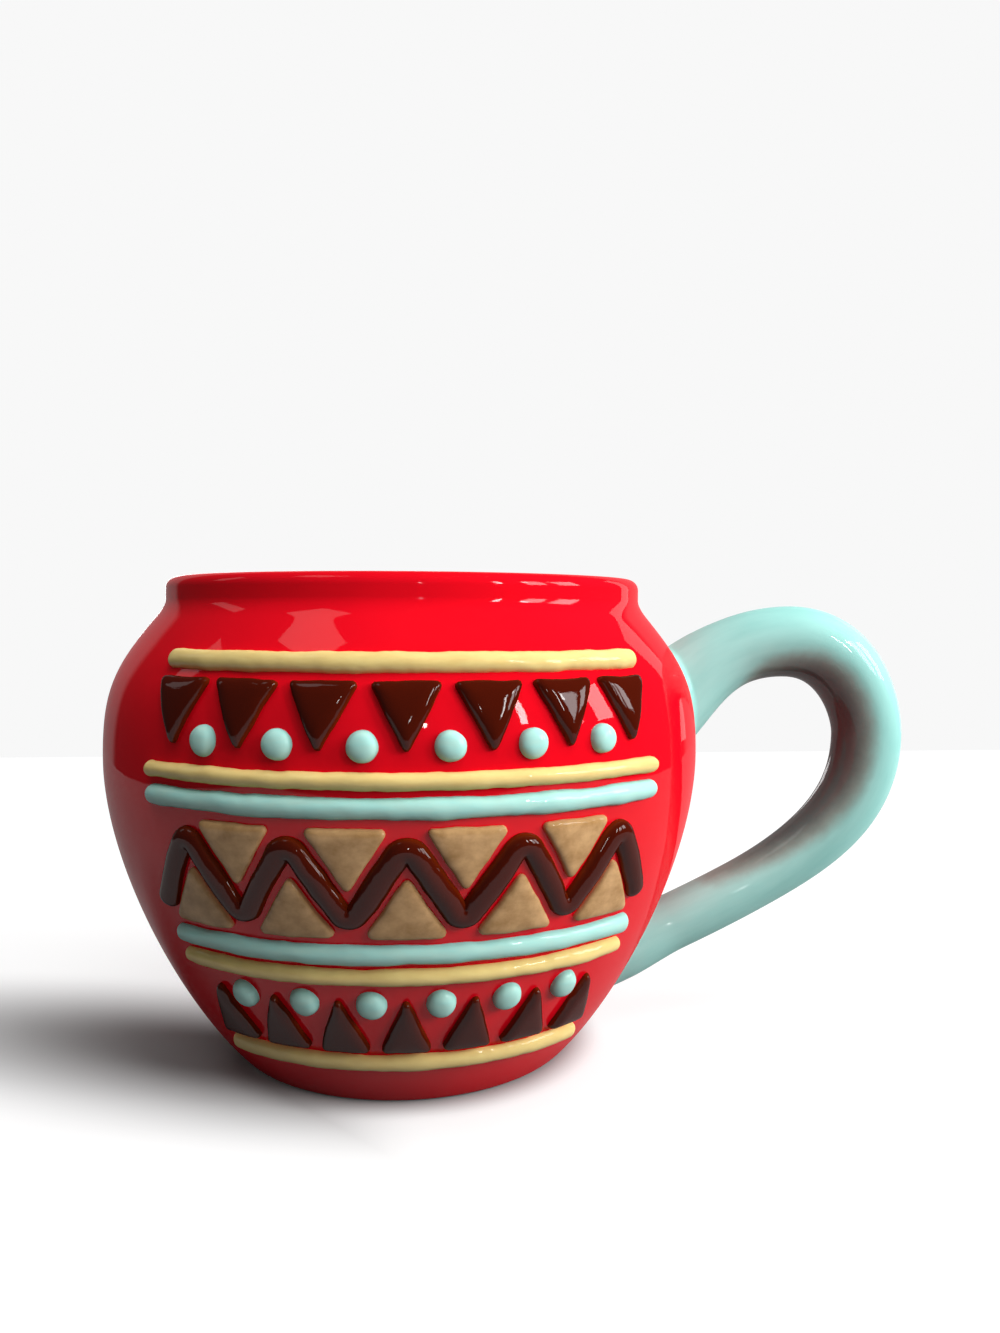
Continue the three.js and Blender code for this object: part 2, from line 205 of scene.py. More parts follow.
def colour(name, description, hex_code):
    return bpy.props.FloatVectorProperty(
        name=name, description=description, default=linear_rgb(hex_code), subtype="COLOR", min=0, max=1)


class PotSettings(bpy.types.PropertyGroup):
    rim_height: length("Rim height", "From the table to the lip", pot_high.z)
    belly_radius: length("Belly radius", "Where the pot is widest", BELLY_RADIUS)
    belly_height: length("Belly height", "Height at which the pot is widest", 54.5 * MM)
    foot_radius: length("Foot radius", "Outside of the foot", 31.4 * MM)
    foot_edge: length("Foot edge", "Height of the rounded edge round the foot", 0.8 * MM)
    foot_flare: angle("Foot flare", "Angle from level at which the wall leaves the foot", 46)
    bare_height: length("Bare height", "Up to where the foot ring is left unglazed", 0.2 * MM)
    collar_radius: length("Collar radius", "Outside of the upright collar", 43.3 * MM)
    collar_height: length("Collar height", "From the top of the shoulder to the lip", 7 * MM)
    collar_flare: length("Collar flare", "How far the shoulder's top stands out", 1.6 * MM)
    collar_fillet: length("Collar fillet", "Upper end of the hollow under the collar", 1.2 * MM)
    shoulder_slope: angle("Shoulder slope", "Angle from level of the shoulder's top", 51)
    lip_round: length("Lip round", "Radius of the lip's two edges", 2 * MM)
    lip_shade: length("Lip shade", "Depth of the deeper red along the lip", 1.6 * MM)
    wall: length("Wall", "Thickness of the wall", 4 * MM)
    floor: length("Floor", "Thickness of the floor", 6 * MM)
    floor_round: length("Floor round", "Size of the hollow round the inside floor", 8 * MM)
    ring_width: length("Ring width", "Flat of the foot ring", 5 * MM)
    ring_recess: length("Ring recess", "Depth of the underside inside the ring", 2.2 * MM)
    ring_slope: length("Ring slope", "How far the recess draws in over its depth", 1.2 * MM)
    foot_fullness: share("Foot fullness", "Curve handle at the foot, of its rise", 0.27)
    lower_fullness: share("Lower belly fullness", "Curve handle below the belly", 0.336)
    upper_fullness: share("Upper belly fullness", "Curve handle above the belly", 0.49)
    shoulder_fullness: share("Shoulder fullness", "Curve handle at the shoulder", 0.45)
    segments: count("Segments", "Facets round the pot", 224)


class HandleSettings(bpy.types.PropertyGroup):
    reach: length("Reach", "From the pot's axis to the outside of the loop", HANDLE_REACH)
    top: length("Top", "Height of the top of the loop", handle_high.z)
    crown_out: length("Crown", "From the belly to the loop's highest point", 19.8 * MM)
    outer_height: length("Outer height", "Height of the loop's outermost point", 56.4 * MM)
    upper_root_drop: length("Upper root", "From the lip down to the upper root", 24 * MM)
    upper_root_slope: angle("Upper root slope", "Angle from level at the upper root", 50)
    upper_root_inset: length("Upper root inset", "Depth of its centre in the wall", 3.9 * MM)
    lower_root_height: length("Lower root", "Height of the lower root", 14.6 * MM)
    lower_root_slope: angle("Lower root slope", "Angle from level at the lower root", 24)
    lower_root_inset: length("Lower root inset", "Depth of its centre in the wall", 0.9 * MM)
    upper_root_thickness: length("Upper root thickness", "Across the upper root", 16.4 * MM)
    crown_thickness: length("Crown thickness", "Across the crown", 13.3 * MM)
    upper_bend_thickness: length("Upper bend thickness", "Between the crown and the outer bend", 14.1 * MM)
    bend_thickness: length("Bend thickness", "Across the outer bend", 13.1 * MM)
    tail_thickness: length("Tail thickness", "Across the lower run", 10.7 * MM)
    lower_root_thickness: length("Lower root thickness", "Across the lower root", 12.4 * MM)
    upper_root_pull: share("Upper root pull", "Curve handle at the upper root, of its width", 0.5)
    crown_in_pull: share("Crown pull inwards", "Curve handle before the crown, of that width", 0.35)
    crown_out_pull: share("Crown pull outwards", "Curve handle past the crown, of the bend's width", 0.78)
    bend_up_pull: share("Bend pull upwards", "Curve handle above the outer bend, of its rise", 0.28)
    bend_down_pull: share("Bend pull downwards", "Curve handle below the outer bend, of its fall", 0.475)
    lower_root_pull: share("Lower root pull", "Curve handle at the lower root, of the tail's width", 0.68)
    fillet: length("Fillet", "Radius of the luted clay at the roots", 1.3 * MM)


class FriezeSettings(bpy.types.PropertyGroup):
    half_angle: angle("Half angle", "Spread to either side of the front", 46)
    foot_margin: length("Foot margin", "From the table to the lower border line", 8.8 * MM)
    shoulder_margin: length("Shoulder margin", "From the shoulder's top to the upper border", 5 * MM)
    border_width: length("Border line", "Width of the outer cream lines", 2.8 * MM)
    inner_width: length("Inner line", "Width of the inner cream lines", 2.6 * MM)
    turquoise_width: length("Turquoise line", "Width of the turquoise lines", 3.2 * MM)
    row_gap: length("Row gap", "Bare glaze between rows", 1.2 * MM)
    line_gap: length("Line gap", "Bare glaze between an inner line and its neighbour", 0.9 * MM)
    tip_gap: length("Tip gap", "From a tooth's tip to the inner line", 2.2 * MM)
    tooth_count: count("Teeth", "Teeth in a row", 7)
    tooth_gap: length("Tooth gap", "Between neighbouring teeth", 0.9 * MM)
    tooth_round: length("Tooth round", "Radius of a tooth's corners", 0.55 * MM)
    dot_radius: length("Dot radius", "Radius of a dot", 2.3 * MM)
    dot_rise: length("Dot rise", "From the level of the tips to a dot's centre", 1.4 * MM)
    band_height: length("Band height", "Height of the zigzag band", 16.6 * MM)
    zigzag_count: count("Zigzags", "Peaks of the zigzag", 5)
    zigzag_width: length("Zigzag width", "Width of the zigzag", 3.8 * MM)
    zigzag_round: length("Zigzag round", "Radius of the zigzag's corners", 1.6 * MM)
    fill_gap: length("Fill gap", "Between the zigzag and its fills", 0.9 * MM)
    fill_round: length("Fill round", "Radius of a fill's corners", 0.7 * MM)
    line_lift: length("Line lift", "How proud the lines stand", 1.45 * MM)
    tooth_lift: length("Tooth lift", "How proud the teeth stand", 1.55 * MM)
    dot_lift: length("Dot lift", "How proud the dots stand", 1.65 * MM)
    fill_lift: length("Fill lift", "How proud the fills stand", 1.15 * MM)
    zigzag_lift: length("Zigzag lift", "How proud the zigzag stands", 1.65 * MM)
    tooth_dome: share("Tooth dome", "From a flat slab, 0, to a half-round, 1", 0.55)
    dot_dome: share("Dot dome", "From a flat slab, 0, to a half-round, 1", 0.8)
    fill_dome: share("Fill dome", "From a flat slab, 0, to a half-round, 1", 0.42)
    seat: length("Seat", "How deep the slip is sunk in the wall", 0.25 * MM)
    wobble: length("Wobble", "How far a hand-drawn edge strays", 0.35 * MM)


class ColourSettings(bpy.types.PropertyGroup):
    red: colour("Red", "Glaze of the pot", "f8081f")
    red_deep: colour("Deep red", "Where the red glaze lies thick", "cc0515")
    turquoise: colour("Turquoise", "Glaze of the handle", "b0ece4")
    turquoise_deep: colour("Deep turquoise", "Where the turquoise lies thick", "94d6ce")
    # Painted shade inside the handle's loop: its dark core and its softer border
    smoke: colour("Smoke", "Rubbed shade inside the handle's loop", "5a6866")
    painted_shade_edge: colour("Smoke edge", "Border of the rubbed shade", "8f968c")
    brown: colour("Brown", "Dark slip of the teeth and the zigzag", "4a0f02")
    brown_thin: colour("Thin brown", "Where the dark slip thins at its edge", "742808")
    taupe: colour("Taupe", "Slip of the fills", "dbae7a")
    taupe_deep: colour("Deep taupe", "Brush marks in the fills", "ab804e")
    cream: colour("Cream", "Slip of the lines", "f8de92")
    cream_deep: colour("Deep cream", "Brush marks in the lines", "f0d084")
    pale_turquoise: colour("Pale turquoise", "Slip of the dots and turquoise lines", "bdeade")
    bisque: colour("Bisque", "Bare fired clay of the foot ring", "d9c6a6")
    grit_shade: share("Grit shade", "How dark the clay's grit is, of its bisque", 0.72)


class StageSettings(bpy.types.PropertyGroup):
    camera_distance: length("Camera distance", "From the pot's axis", 199.3 * MM)
    camera_height: length("Camera height", "Above the table", 79.4 * MM)
    camera_pitch: angle("Camera pitch", "Downwards", 2.78)
    camera_yaw: angle("Camera yaw", "Towards the handle", 5.08)
    camera_roll: angle("Camera roll", "Lean of the picture", -0.23)
    focal_px: bpy.props.FloatProperty(
        name="Focal length", description="In the photograph's frame", default=1050.0, subtype="PIXEL")
    window_bearing: angle("Window bearing", "Of the window wall, from the front to the handle", 85)
    window_climb: angle("Window climb", "Of the window wall's brightest part", 35)
    window_light: share("Window light", "Room's light from the window wall", 0.47)
    room_light: share("Room light", "Room's light from the far side", 0.02)
    light_end: share("Light end", "Cosine from the window wall at which its light ends", -0.1)
    backdrop: colour("Backdrop", "Pale sweep behind the table", "f8f8f8")
    backdrop_start: share("Backdrop start", "How far back a mirrored view turns to meet the sweep", 0.66)
    backdrop_end: share("Backdrop end", "How far back it turns to show the sweep alone", 0.74)
    side_wall: colour("Side walls", "Room to the sides of the table and above it, as mirrored", "606060")
    table: colour("Table", "Table in the mug's shadow", "a0a0a0")
    table_bounce: colour("Table bounce", "Tone of the light that the table throws back", "606060")
    table_half_width: length("Table half width", "From the middle to either side", 360 * MM)
    table_front: length("Table front", "From the middle to its front edge", 300 * MM)
    table_back: length("Table back", "From the middle to its back edge", 400 * MM)
    table_drop: length("Table drop", "Below the foot ring", 0.05 * MM)
    # Painted light on the table: an oval kept as painted shadow, a white glow outside it and clear of the
    # foot, and a fade to plain white
    shadow_shift: length("Shadow shift", "From the mug's axis to the middle of its shadow", 36 * MM)
    shadow_ahead: length("Shadow ahead", "From the mug's axis forwards to that middle", 8 * MM)
    shadow_turn: angle("Shadow turn", "Of the shadow's length, back to the left", -20)
    shadow_stretch: share("Shadow stretch", "Shadow's breadth over its length", 0.3)
    glow_start: length("Glow start", "From the shadow's middle to where the table whitens", 5 * MM)
    glow_end: length("Glow end", "From the shadow's middle to where it is whitest", 35 * MM)
    dark_side: length("Dark side", "From the mug's axis to where the table leaves the shadow", 30 * MM)
    lit_side: length("Lit side", "From the mug's axis to where the table is clear of it", 4 * MM)
    contact_start: length("Contact start", "From the mug's axis to the edge of its foot", 29 * MM)
    contact_end: length("Contact end", "From the mug's axis to where the table clears the foot", 38 * MM)
    glow: share("Glow", "White added to the table away from the shadow", 0.72)
    fade_start: length("Fade start", "From the shadow to where the table starts to fade", 150 * MM)
    fade_end: length("Fade end", "From the shadow to where the table is plain white", 600 * MM)


class MugSettings(bpy.types.PropertyGroup):
    pot: bpy.props.PointerProperty(name="Pot", description="Sizes of the pot", type=PotSettings)
    handle: bpy.props.PointerProperty(
        name="Handle", description="Sizes of the handle", type=HandleSettings)
    frieze: bpy.props.PointerProperty(
        name="Frieze", description="Sizes of the frieze", type=FriezeSettings)
    colours: bpy.props.PointerProperty(
        name="Colours", description="Glazes, slips and clay", type=ColourSettings)
    stage: bpy.props.PointerProperty(
        name="Stage", description="Camera, table and room", type=StageSettings)


def put(tree, kind, inputs=None, **settings):
    """Adds a node with its settings. An input, by name or place, takes a value, a socket or a node."""
    node = tree.nodes.new(kind)
    for name, value in settings.items():
        setattr(node, name, value)
    for key, value in (inputs or {}).items():
        socket = node.inputs[key]
        if isinstance(value, bpy.types.Node):
            value = next(output for output in value.outputs if output.enabled)
        if isinstance(value, bpy.types.NodeSocket):
            tree.links.new(value, socket)
        elif socket.type == "RGBA":
            socket.default_value = (*value, 1)
        else:
            socket.default_value = value
    return node


def per_mm(size):
    """Texture scale, on coordinates in metres, that gives features of a size in millimetres."""
    return 1.0 / (size * MM)


# Shapes in the half-plane of radius and height

def at(radius, height):
    return np.array([radius, height])


def towards(start, turn, reach):
    return start + reach * np.array([math.cos(turn), math.sin(turn)])


def bezier(points, steps):
    """Points and unit tangents of a Bezier curve with three or four control points."""
    t = np.linspace(0, 1, steps + 1)[:, None]
    controls = np.array(points)
    while len(controls) > 2:
        controls = [(1 - t) * a + t * b for a, b in zip(controls[:-1], controls[1:])]
    tangents = controls[1] - controls[0]
    return (1 - t) * controls[0] + t * controls[1], tangents / np.linalg.norm(tangents, axis=1)[:, None]


def joined(curves):
    """Points and tangents of curves that each start where the one before ends."""
    first, *others = curves
    return [np.vstack([first[i]] + [curve[i][1:] for curve in others]) for i in (0, 1)]


def offset(curve, distance):
    """A curve's points moved square to it, away from the axis where it climbs."""
    points, tangents = curve
    return points + distance * np.column_stack([tangents[:, 1], -tangents[:, 0]])


class PotWall:
    """The pot's outside: its curves, and radius and outward direction over height."""

    def __init__(self, pot):
        self.pot = pot
        self.shoulder_height = pot.rim_height - pot.collar_height
        lower_rise = pot.belly_height - pot.foot_edge
        upper_rise = self.shoulder_height - pot.belly_height
        self.foot_top = at(pot.foot_radius, pot.foot_edge)
        belly = at(pot.belly_radius, pot.belly_height)
        self.shoulder = at(pot.collar_radius + pot.collar_flare, self.shoulder_height)
        self.lower = bezier([
            self.foot_top,
            towards(self.foot_top, pot.foot_flare, pot.foot_fullness * lower_rise),
            belly - at(0, pot.lower_fullness * lower_rise),
            belly,
        ], BELLY_STEPS)
        self.upper = bezier([
            belly,
            belly + at(0, pot.upper_fullness * upper_rise),
            towards(self.shoulder, -pot.shoulder_slope, pot.shoulder_fullness * upper_rise),
            self.shoulder,
        ], SHOULDER_STEPS)
        points, self.slopes = joined([self.lower, self.upper])
        self.radii, self.heights = points.T

    def radius(self, height):
        return np.interp(height, self.heights, self.radii)

    def outward(self, height):
        along = [np.interp(height, self.heights, self.slopes[:, i]) for i in (0, 1)]
        size = np.hypot(*along)
        return along[1] / size, -along[0] / size

    def place(self, turn, height, lift):
        """Points above the wall, at angles from the front towards the handle."""
        out, up = self.outward(height)
        reach = self.radius(height) + lift * out
        x = AXIS.x + reach * np.sin(turn)
        y = AXIS.y - reach * np.cos(turn)
        return np.column_stack([x, y, height + lift * up])

    def distance(self, points):
        """How far points in space lie outside the wall, about square to it."""
        reach = np.hypot(points[..., 0] - AXIS.x, points[..., 1] - AXIS.y)
        out, _ = self.outward(points[..., 2])
        return (reach - self.radius(points[..., 2])) * out

    def hollow(self, start, radius):
        """The curve from the shoulder's slope into an upright wall."""
        drop = (start[0] - radius) * math.tan(self.pot.shoulder_slope)
        corner = at(radius, start[1] + drop)
        return bezier([start, corner, corner + at(0, self.pot.collar_fillet)], HOLLOW_STEPS)[0]

    def underside(self):
        """The recess inside the foot ring, the ring and the foot's rounded edge, from the axis out."""
        pot = self.pot
        foot_corner = at(pot.foot_radius - pot.foot_edge / math.tan(pot.foot_flare), 0)
        foot_contact = foot_corner - at(pot.foot_edge, 0)
        ring_inside = foot_contact[0] - pot.ring_width
        edge = pot.foot_edge / 2
        recess_corner = at(ring_inside - pot.ring_slope, pot.ring_recess)
        ring_top = at(ring_inside, edge)
        ring_start = at(ring_inside + edge, 0)
        return [
            np.linspace(at(0, pot.ring_recess), recess_corner - at(2 * edge, 0), RECESS_POINTS),
            bezier([recess_corner - at(edge, 0), recess_corner, ring_top], RING_EDGE_STEPS)[0],
            bezier([ring_top, at(ring_inside, 0), ring_start], RING_EDGE_STEPS)[0][1:],
            np.linspace(ring_start, foot_contact, RING_POINTS)[1:],
            bezier([foot_contact, foot_corner, self.foot_top], FOOT_STEPS)[0][1:],
        ]

    def inside(self, mouth):
        """The inner wall from the mouth down, the hollow round the floor and the floor to the axis."""
        pot = self.pot
        floor_height = pot.ring_recess + pot.floor
        upper = offset(self.upper, -pot.wall)
        lower = offset(self.lower, -pot.wall)
        wall = np.vstack([self.hollow(upper[-1], mouth)[::-1], upper[::-1][1:], lower[::-1][1:]])
        wall = wall[wall[:, 1] > floor_height + pot.floor_round]
        fall = wall[-1] - wall[-2]
        corner = wall[-1] + fall * (floor_height - wall[-1][1]) / fall[1]
        floor_edge = corner - at(pot.floor_round, 0)
        return [
            wall,
            bezier([wall[-1], corner, floor_edge], FLOOR_ROUND_STEPS)[0][1:],
            np.linspace(floor_edge, at(0, floor_height), FLOOR_POINTS)[1:],
        ]

    def outline(self):
        """The closed section of the pot, from the axis underneath to the axis inside."""
        pot = self.pot
        mouth = pot.collar_radius - pot.wall
        turns = np.linspace(0, math.pi, LIP_POINTS)
        lip_middle = at((pot.collar_radius + mouth) / 2, pot.rim_height - pot.lip_round)
        lip = lip_middle + np.column_stack([np.cos(turns) * pot.wall / 2, np.sin(turns) * pot.lip_round])
        collar = self.hollow(self.shoulder, pot.collar_radius)
        outside = [self.lower[0][1:], self.upper[0][1:], collar[1:], lip]
        return np.vstack(self.underside() + outside + self.inside(mouth))


# Objects from meshes and node trees

def new_object(name, mesh):
    piece = bpy.data.objects.new(name, mesh)
    bpy.context.scene.collection.objects.link(piece)
    return piece


def mesh_of_rings(name, rings):
    """A smooth closed tube over rings of points, each anticlockwise as seen from the last ring."""
    ring_count, sides, _ = rings.shape
    faces = [tuple(range(sides))[::-1]]
    for here in range(0, (ring_count - 1) * sides, sides):
        there = here + sides
        for side in range(sides):
            following = (side + 1) % sides
            faces.append((here + side, here + following, there + following, there + side))
    faces.append(tuple(range((ring_count - 1) * sides, ring_count * sides)))
    mesh = bpy.data.meshes.new(name)
    mesh.from_pydata(rings.reshape(-1, 3).tolist(), [], faces)
    mesh.shade_smooth()
    return mesh


def new_tree(name, sockets):
    """A node tree with named inputs and a geometry output, and the sockets of its inputs."""
    tree = bpy.data.node_groups.new(name, "GeometryNodeTree")
    for socket_name, kind in sockets.items():
        tree.interface.new_socket(socket_name, in_out="INPUT", socket_type=f"NodeSocket{kind}")
    tree.interface.new_socket("Geometry", in_out="OUTPUT", socket_type="NodeSocketGeometry")
    return tree, put(tree, "NodeGroupInput").outputs


def grow(name, tree, values):
    """A plain mesh object from a node tree and values for its named inputs."""
    host = new_object(f"{name}_host", bpy.data.meshes.new(f"{name}_host"))
    modifier = host.modifiers.new("Shape", "NODES")
    modifier.node_group = tree
    for item in tree.interface.items_tree:
        if item.in_out == "INPUT":
            modifier[item.identifier] = values[item.name]
    depsgraph = bpy.context.evaluated_depsgraph_get()
    mesh = bpy.data.meshes.new_from_object(
        host.evaluated_get(depsgraph), preserve_all_data_layers=True, depsgraph=depsgraph)
    bpy.data.objects.remove(host)
    mesh.name = name
    if not mesh.polygons:
        raise RuntimeError(f"{name} came out empty")
    if mesh.materials[0] is None:
        mesh.materials.pop(index=0)
    return new_object(name, mesh)


def stand_for(piece, slot, *nodes):
    """Ties a finished piece to the frame in place of its solids."""
    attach(piece, "root")
    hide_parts(*nodes)


def wrap_on_wall(mesh, wall, height):
    """Bends a flat layout, along and up the wall from the front at a height, onto the pot."""
    flat = np.empty(len(mesh.vertices) * 3)
    mesh.vertices.foreach_get("co", flat)
    flat = flat.reshape(-1, 3)
    turned = wall.place(flat[:, 0] / wall.radius(height), height + flat[:, 1], flat[:, 2])
    mesh.vertices.foreach_set("co", turned.ravel())
    mesh.update()


# Materials

def new_material(name):
    """A material by its name, with an empty tree and the surface's own coordinates."""
    made = bpy.data.materials.get(name) or bpy.data.materials.new(name)
    made.use_nodes = True
    tree = made.node_tree
    tree.nodes.clear()
    return made, tree, put(tree, "ShaderNodeTexCoord").outputs


def cover(tree, finish):
    """Ends a material with its shader."""
    shader = put(tree, "ShaderNodeBsdfPrincipled", finish)
    put(tree, "ShaderNodeOutputMaterial", {"Surface": shader})


def glaze_over(tree, tone, gloss, waves):
    """Ends a material with clear glaze: a crisp mirror head-on that hardly greys towards the edge."""
    cover(tree, {
        "Base Color": tone, "Roughness": gloss, "Normal": waves, "Coat Normal": waves,
        "Specular IOR Level": 0.0, "Coat Weight": 0.19, "Coat IOR": 1.8, "Coat Roughness": 0.03})


def red_glaze(colours, pot):
    """Stoneware dipped in red glaze: deep even red, mirror gloss, faint waves where it ran."""
    made, tree, where = new_material("dipped_red_glaze")
    pool = put(tree, "ShaderNodeTexNoise", {
        "Vector": where["Object"], "Scale": per_mm(POOL_MM), "Detail": 3.0, "Roughness": 0.5})
    thick = put(tree, "ShaderNodeMapRange", {
        "Value": pool, "From Min": 0.35, "From Max": 0.75, "To Max": 0.4})
    body = put(tree, "ShaderNodeMix", {
        "Factor": thick, "A": colours.red, "B": colours.red_deep}, data_type="RGBA")
    height = put(tree, "ShaderNodeSeparateXYZ", {"Vector": where["Object"]}).outputs["Z"]
    lip = put(tree, "ShaderNodeMapRange", {
        "Value": height, "From Min": pot.rim_height - pot.lip_shade, "From Max": pot.rim_height,
        "To Max": 0.35})
    tone = put(tree, "ShaderNodeMix", {
        "Factor": lip, "A": body, "B": colours.red_deep}, data_type="RGBA")
    gloss = put(tree, "ShaderNodeMapRange", {"Value": pool, "To Min": 0.03, "To Max": 0.09})
    runs = put(tree, "ShaderNodeTexNoise", {
        "Vector": where["Object"], "Scale": per_mm(RUN_MM), "Detail": 1.5, "Roughness": 0.45})
    waves = put(tree, "ShaderNodeBump", {"Height": runs, "Strength": 0.5, "Distance": 0.25 * MM})
    glaze_over(tree, tone, gloss, waves)
    return made


def bare_clay(colours):
    """Unglazed fired clay of the foot ring: pale, matt and gritty, its grit coarse enough to show."""
    made, tree, where = new_material("bare_fired_clay")
    grit = put(tree, "ShaderNodeTexNoise", {
        "Vector": where["Object"], "Scale": per_mm(GRIT_MM), "Detail": 4.0, "Roughness": 0.65})
    tone = put(tree, "ShaderNodeMix", {
        "Factor": grit, "A": colours.grit_shade * colours.bisque, "B": colours.bisque}, data_type="RGBA")
    bumps = put(tree, "ShaderNodeBump", {"Height": grit, "Strength": 0.5, "Distance": 0.12 * MM})
    cover(tree, {"Base Color": tone, "Roughness": 0.85, "Normal": bumps})
    return made


def handle_glaze(colours):
    """Turquoise glaze brushed along the handle, with painted shade darkening the inside of the loop."""
    made, tree, where = new_material("brushed_turquoise_glaze")
    brush = put(tree, "ShaderNodeMapping", {
        "Vector": where["UV"], "Scale": (per_mm(STROKE_MM), per_mm(STROKE_LENGTH_MM), 1)})
    strokes = put(tree, "ShaderNodeTexNoise", {
        "Vector": brush, "Scale": 1.0, "Detail": 4.0, "Roughness": 0.55})
    thick = put(tree, "ShaderNodeMapRange", {
        "Value": strokes, "From Min": 0.32, "From Max": 0.72, "To Max": 0.8})
    glaze = put(tree, "ShaderNodeMix", {
        "Factor": thick, "A": colours.turquoise, "B": colours.turquoise_deep}, data_type="RGBA")
    cloud = put(tree, "ShaderNodeTexNoise", {
        "Vector": where["Object"], "Scale": per_mm(CLOUD_MM), "Detail": 4.0, "Roughness": 0.6})
    uneven = put(tree, "ShaderNodeMapRange", {"Value": cloud, "To Min": -0.2, "To Max": 0.2})
    # Painted shade darkens the inside of the loop, first its softer border and then its dark core
    painted_shade_amount = put(tree, "ShaderNodeAttribute", attribute_name="smoke").outputs["Fac"]
    smoke = put(tree, "ShaderNodeMath", {0: painted_shade_amount, 1: uneven}, operation="ADD")
    border = put(tree, "ShaderNodeMapRange", {
        "Value": smoke, "From Min": 0.08, "From Max": 0.62, "To Max": 0.8},
        interpolation_type="SMOOTHSTEP")
    bordered = put(tree, "ShaderNodeMix", {
        "Factor": border, "A": glaze, "B": colours.painted_shade_edge}, data_type="RGBA")
    core = put(tree, "ShaderNodeMapRange", {
        "Value": smoke, "From Min": 0.4, "From Max": 1.0, "To Max": 0.92},
        interpolation_type="SMOOTHSTEP")
    tone = put(tree, "ShaderNodeMix", {
        "Factor": core, "A": bordered, "B": colours.smoke}, data_type="RGBA")
    gloss = put(tree, "ShaderNodeMapRange", {"Value": strokes, "To Min": 0.04, "To Max": 0.1})
    ridges = put(tree, "ShaderNodeBump", {"Height": strokes, "Strength": 0.22, "Distance": 0.2 * MM})
    glaze_over(tree, tone, gloss, ridges)
    return made


def slip(name, main, marks, edge, stroke_mm, stretch, smoothest, roughest):
    """Coloured slip under clear glaze: brush marks along the stroke and a thinner edge."""
    made, tree, where = new_material(name)
    brush = put(tree, "ShaderNodeMapping", {
        "Vector": where["UV"], "Scale": (per_mm(stretch * stroke_mm), per_mm(stroke_mm), 1)})
    strokes = put(tree, "ShaderNodeTexNoise", {
        "Vector": brush, "Scale": 1.0, "Detail": 5.0, "Roughness": 0.6})
    marked = put(tree, "ShaderNodeMapRange", {"Value": strokes, "From Min": 0.34, "From Max": 0.7})
    body = put(tree, "ShaderNodeMix", {"Factor": marked, "A": main, "B": marks}, data_type="RGBA")
    lift = put(tree, "ShaderNodeAttribute", attribute_name="lift").outputs["Fac"]
    thin = put(tree, "ShaderNodeMapRange", {
        "Value": lift, "From Min": 0.15, "From Max": 0.75, "To Min": 0.8, "To Max": 0.0},
        interpolation_type="SMOOTHSTEP")
    tone = put(tree, "ShaderNodeMix", {"Factor": thin, "A": body, "B": edge}, data_type="RGBA")
    gloss = put(tree, "ShaderNodeMapRange", {
        "Value": strokes, "To Min": smoothest, "To Max": roughest})
    ridges = put(tree, "ShaderNodeBump", {"Height": strokes, "Strength": 0.2, "Distance": 0.2 * MM})
    glaze_over(tree, tone, gloss, ridges)
    return made


def brown_slip(colours):
    """Very dark slip laid thick: even and glossy, redder where it thins at its edge."""
    return slip(
        "glossy_brown_slip", colours.brown, colours.brown, colours.brown_thin,
        stroke_mm=2.0, stretch=4.0, smoothest=0.03, roughest=0.07)


def taupe_slip(colours):
    """Taupe slip brushed into the bays: mottled by the brush and the least glossy of the slips."""
    return slip(
        "brushed_taupe_slip", colours.taupe, colours.taupe_deep, colours.taupe,
        stroke_mm=3.2, stretch=1.3, smoothest=0.06, roughest=0.16)


def cream_slip(colours):
    """Cream slip trailed from a nozzle: pale and even, a little deeper at its edge."""
    return slip(
        "trailed_cream_slip", colours.cream, colours.cream_deep, colours.cream_deep,
        stroke_mm=1.2, stretch=4.0, smoothest=0.05, roughest=0.14)


def turquoise_slip(colours):
    """Pale turquoise slip: milky, with the handle's deeper turquoise at its edge."""
    return slip(
        "pale_turquoise_slip", colours.pale_turquoise, colours.turquoise, colours.turquoise_deep,
        stroke_mm=1.4, stretch=4.0, smoothest=0.05, roughest=0.14)


# Node trees

def turned_pot_tree():
    """Turns a section about the axis. The bare ring underneath gets its own material."""
    tree, given = new_tree("turned_pot", {
        "Section": "Object", "Segments": "Int", "Path Radius": "Float",
        "Glaze": "Material", "Clay": "Material", "Bare Below": "Float"})
    section = put(tree, "GeometryNodeObjectInfo", {"Object": given["Section"]}).outputs["Geometry"]
    path = put(tree, "GeometryNodeCurvePrimitiveCircle", {
        "Resolution": given["Segments"], "Radius": given["Path Radius"]})
    turned = put(tree, "GeometryNodeCurveToMesh", {"Curve": path, "Profile Curve": section})
    welded = put(tree, "GeometryNodeMergeByDistance", {"Geometry": turned, "Distance": POLE_WELD})
    placed = put(tree, "GeometryNodeTransform", {"Geometry": welded, "Translation": AXIS})
    smooth = put(tree, "GeometryNodeSetShadeSmooth", {"Geometry": placed})
    real = put(tree, "GeometryNodeRealizeInstances", {"Geometry": smooth})
    glazed = put(tree, "GeometryNodeSetMaterial", {"Geometry": real, "Material": given["Glaze"]})
    here = put(tree, "GeometryNodeInputPosition")
    height = put(tree, "ShaderNodeSeparateXYZ", {"Vector": here}).outputs["Z"]
    low = put(tree, "FunctionNodeCompare", {"A": height, "B": given["Bare Below"]}, operation="LESS_THAN")
    ringed = put(tree, "GeometryNodeSetMaterial", {
        "Geometry": glazed, "Selection": low, "Material": given["Clay"]})
    put(tree, "NodeGroupOutput", {"Geometry": ringed})
    return tree


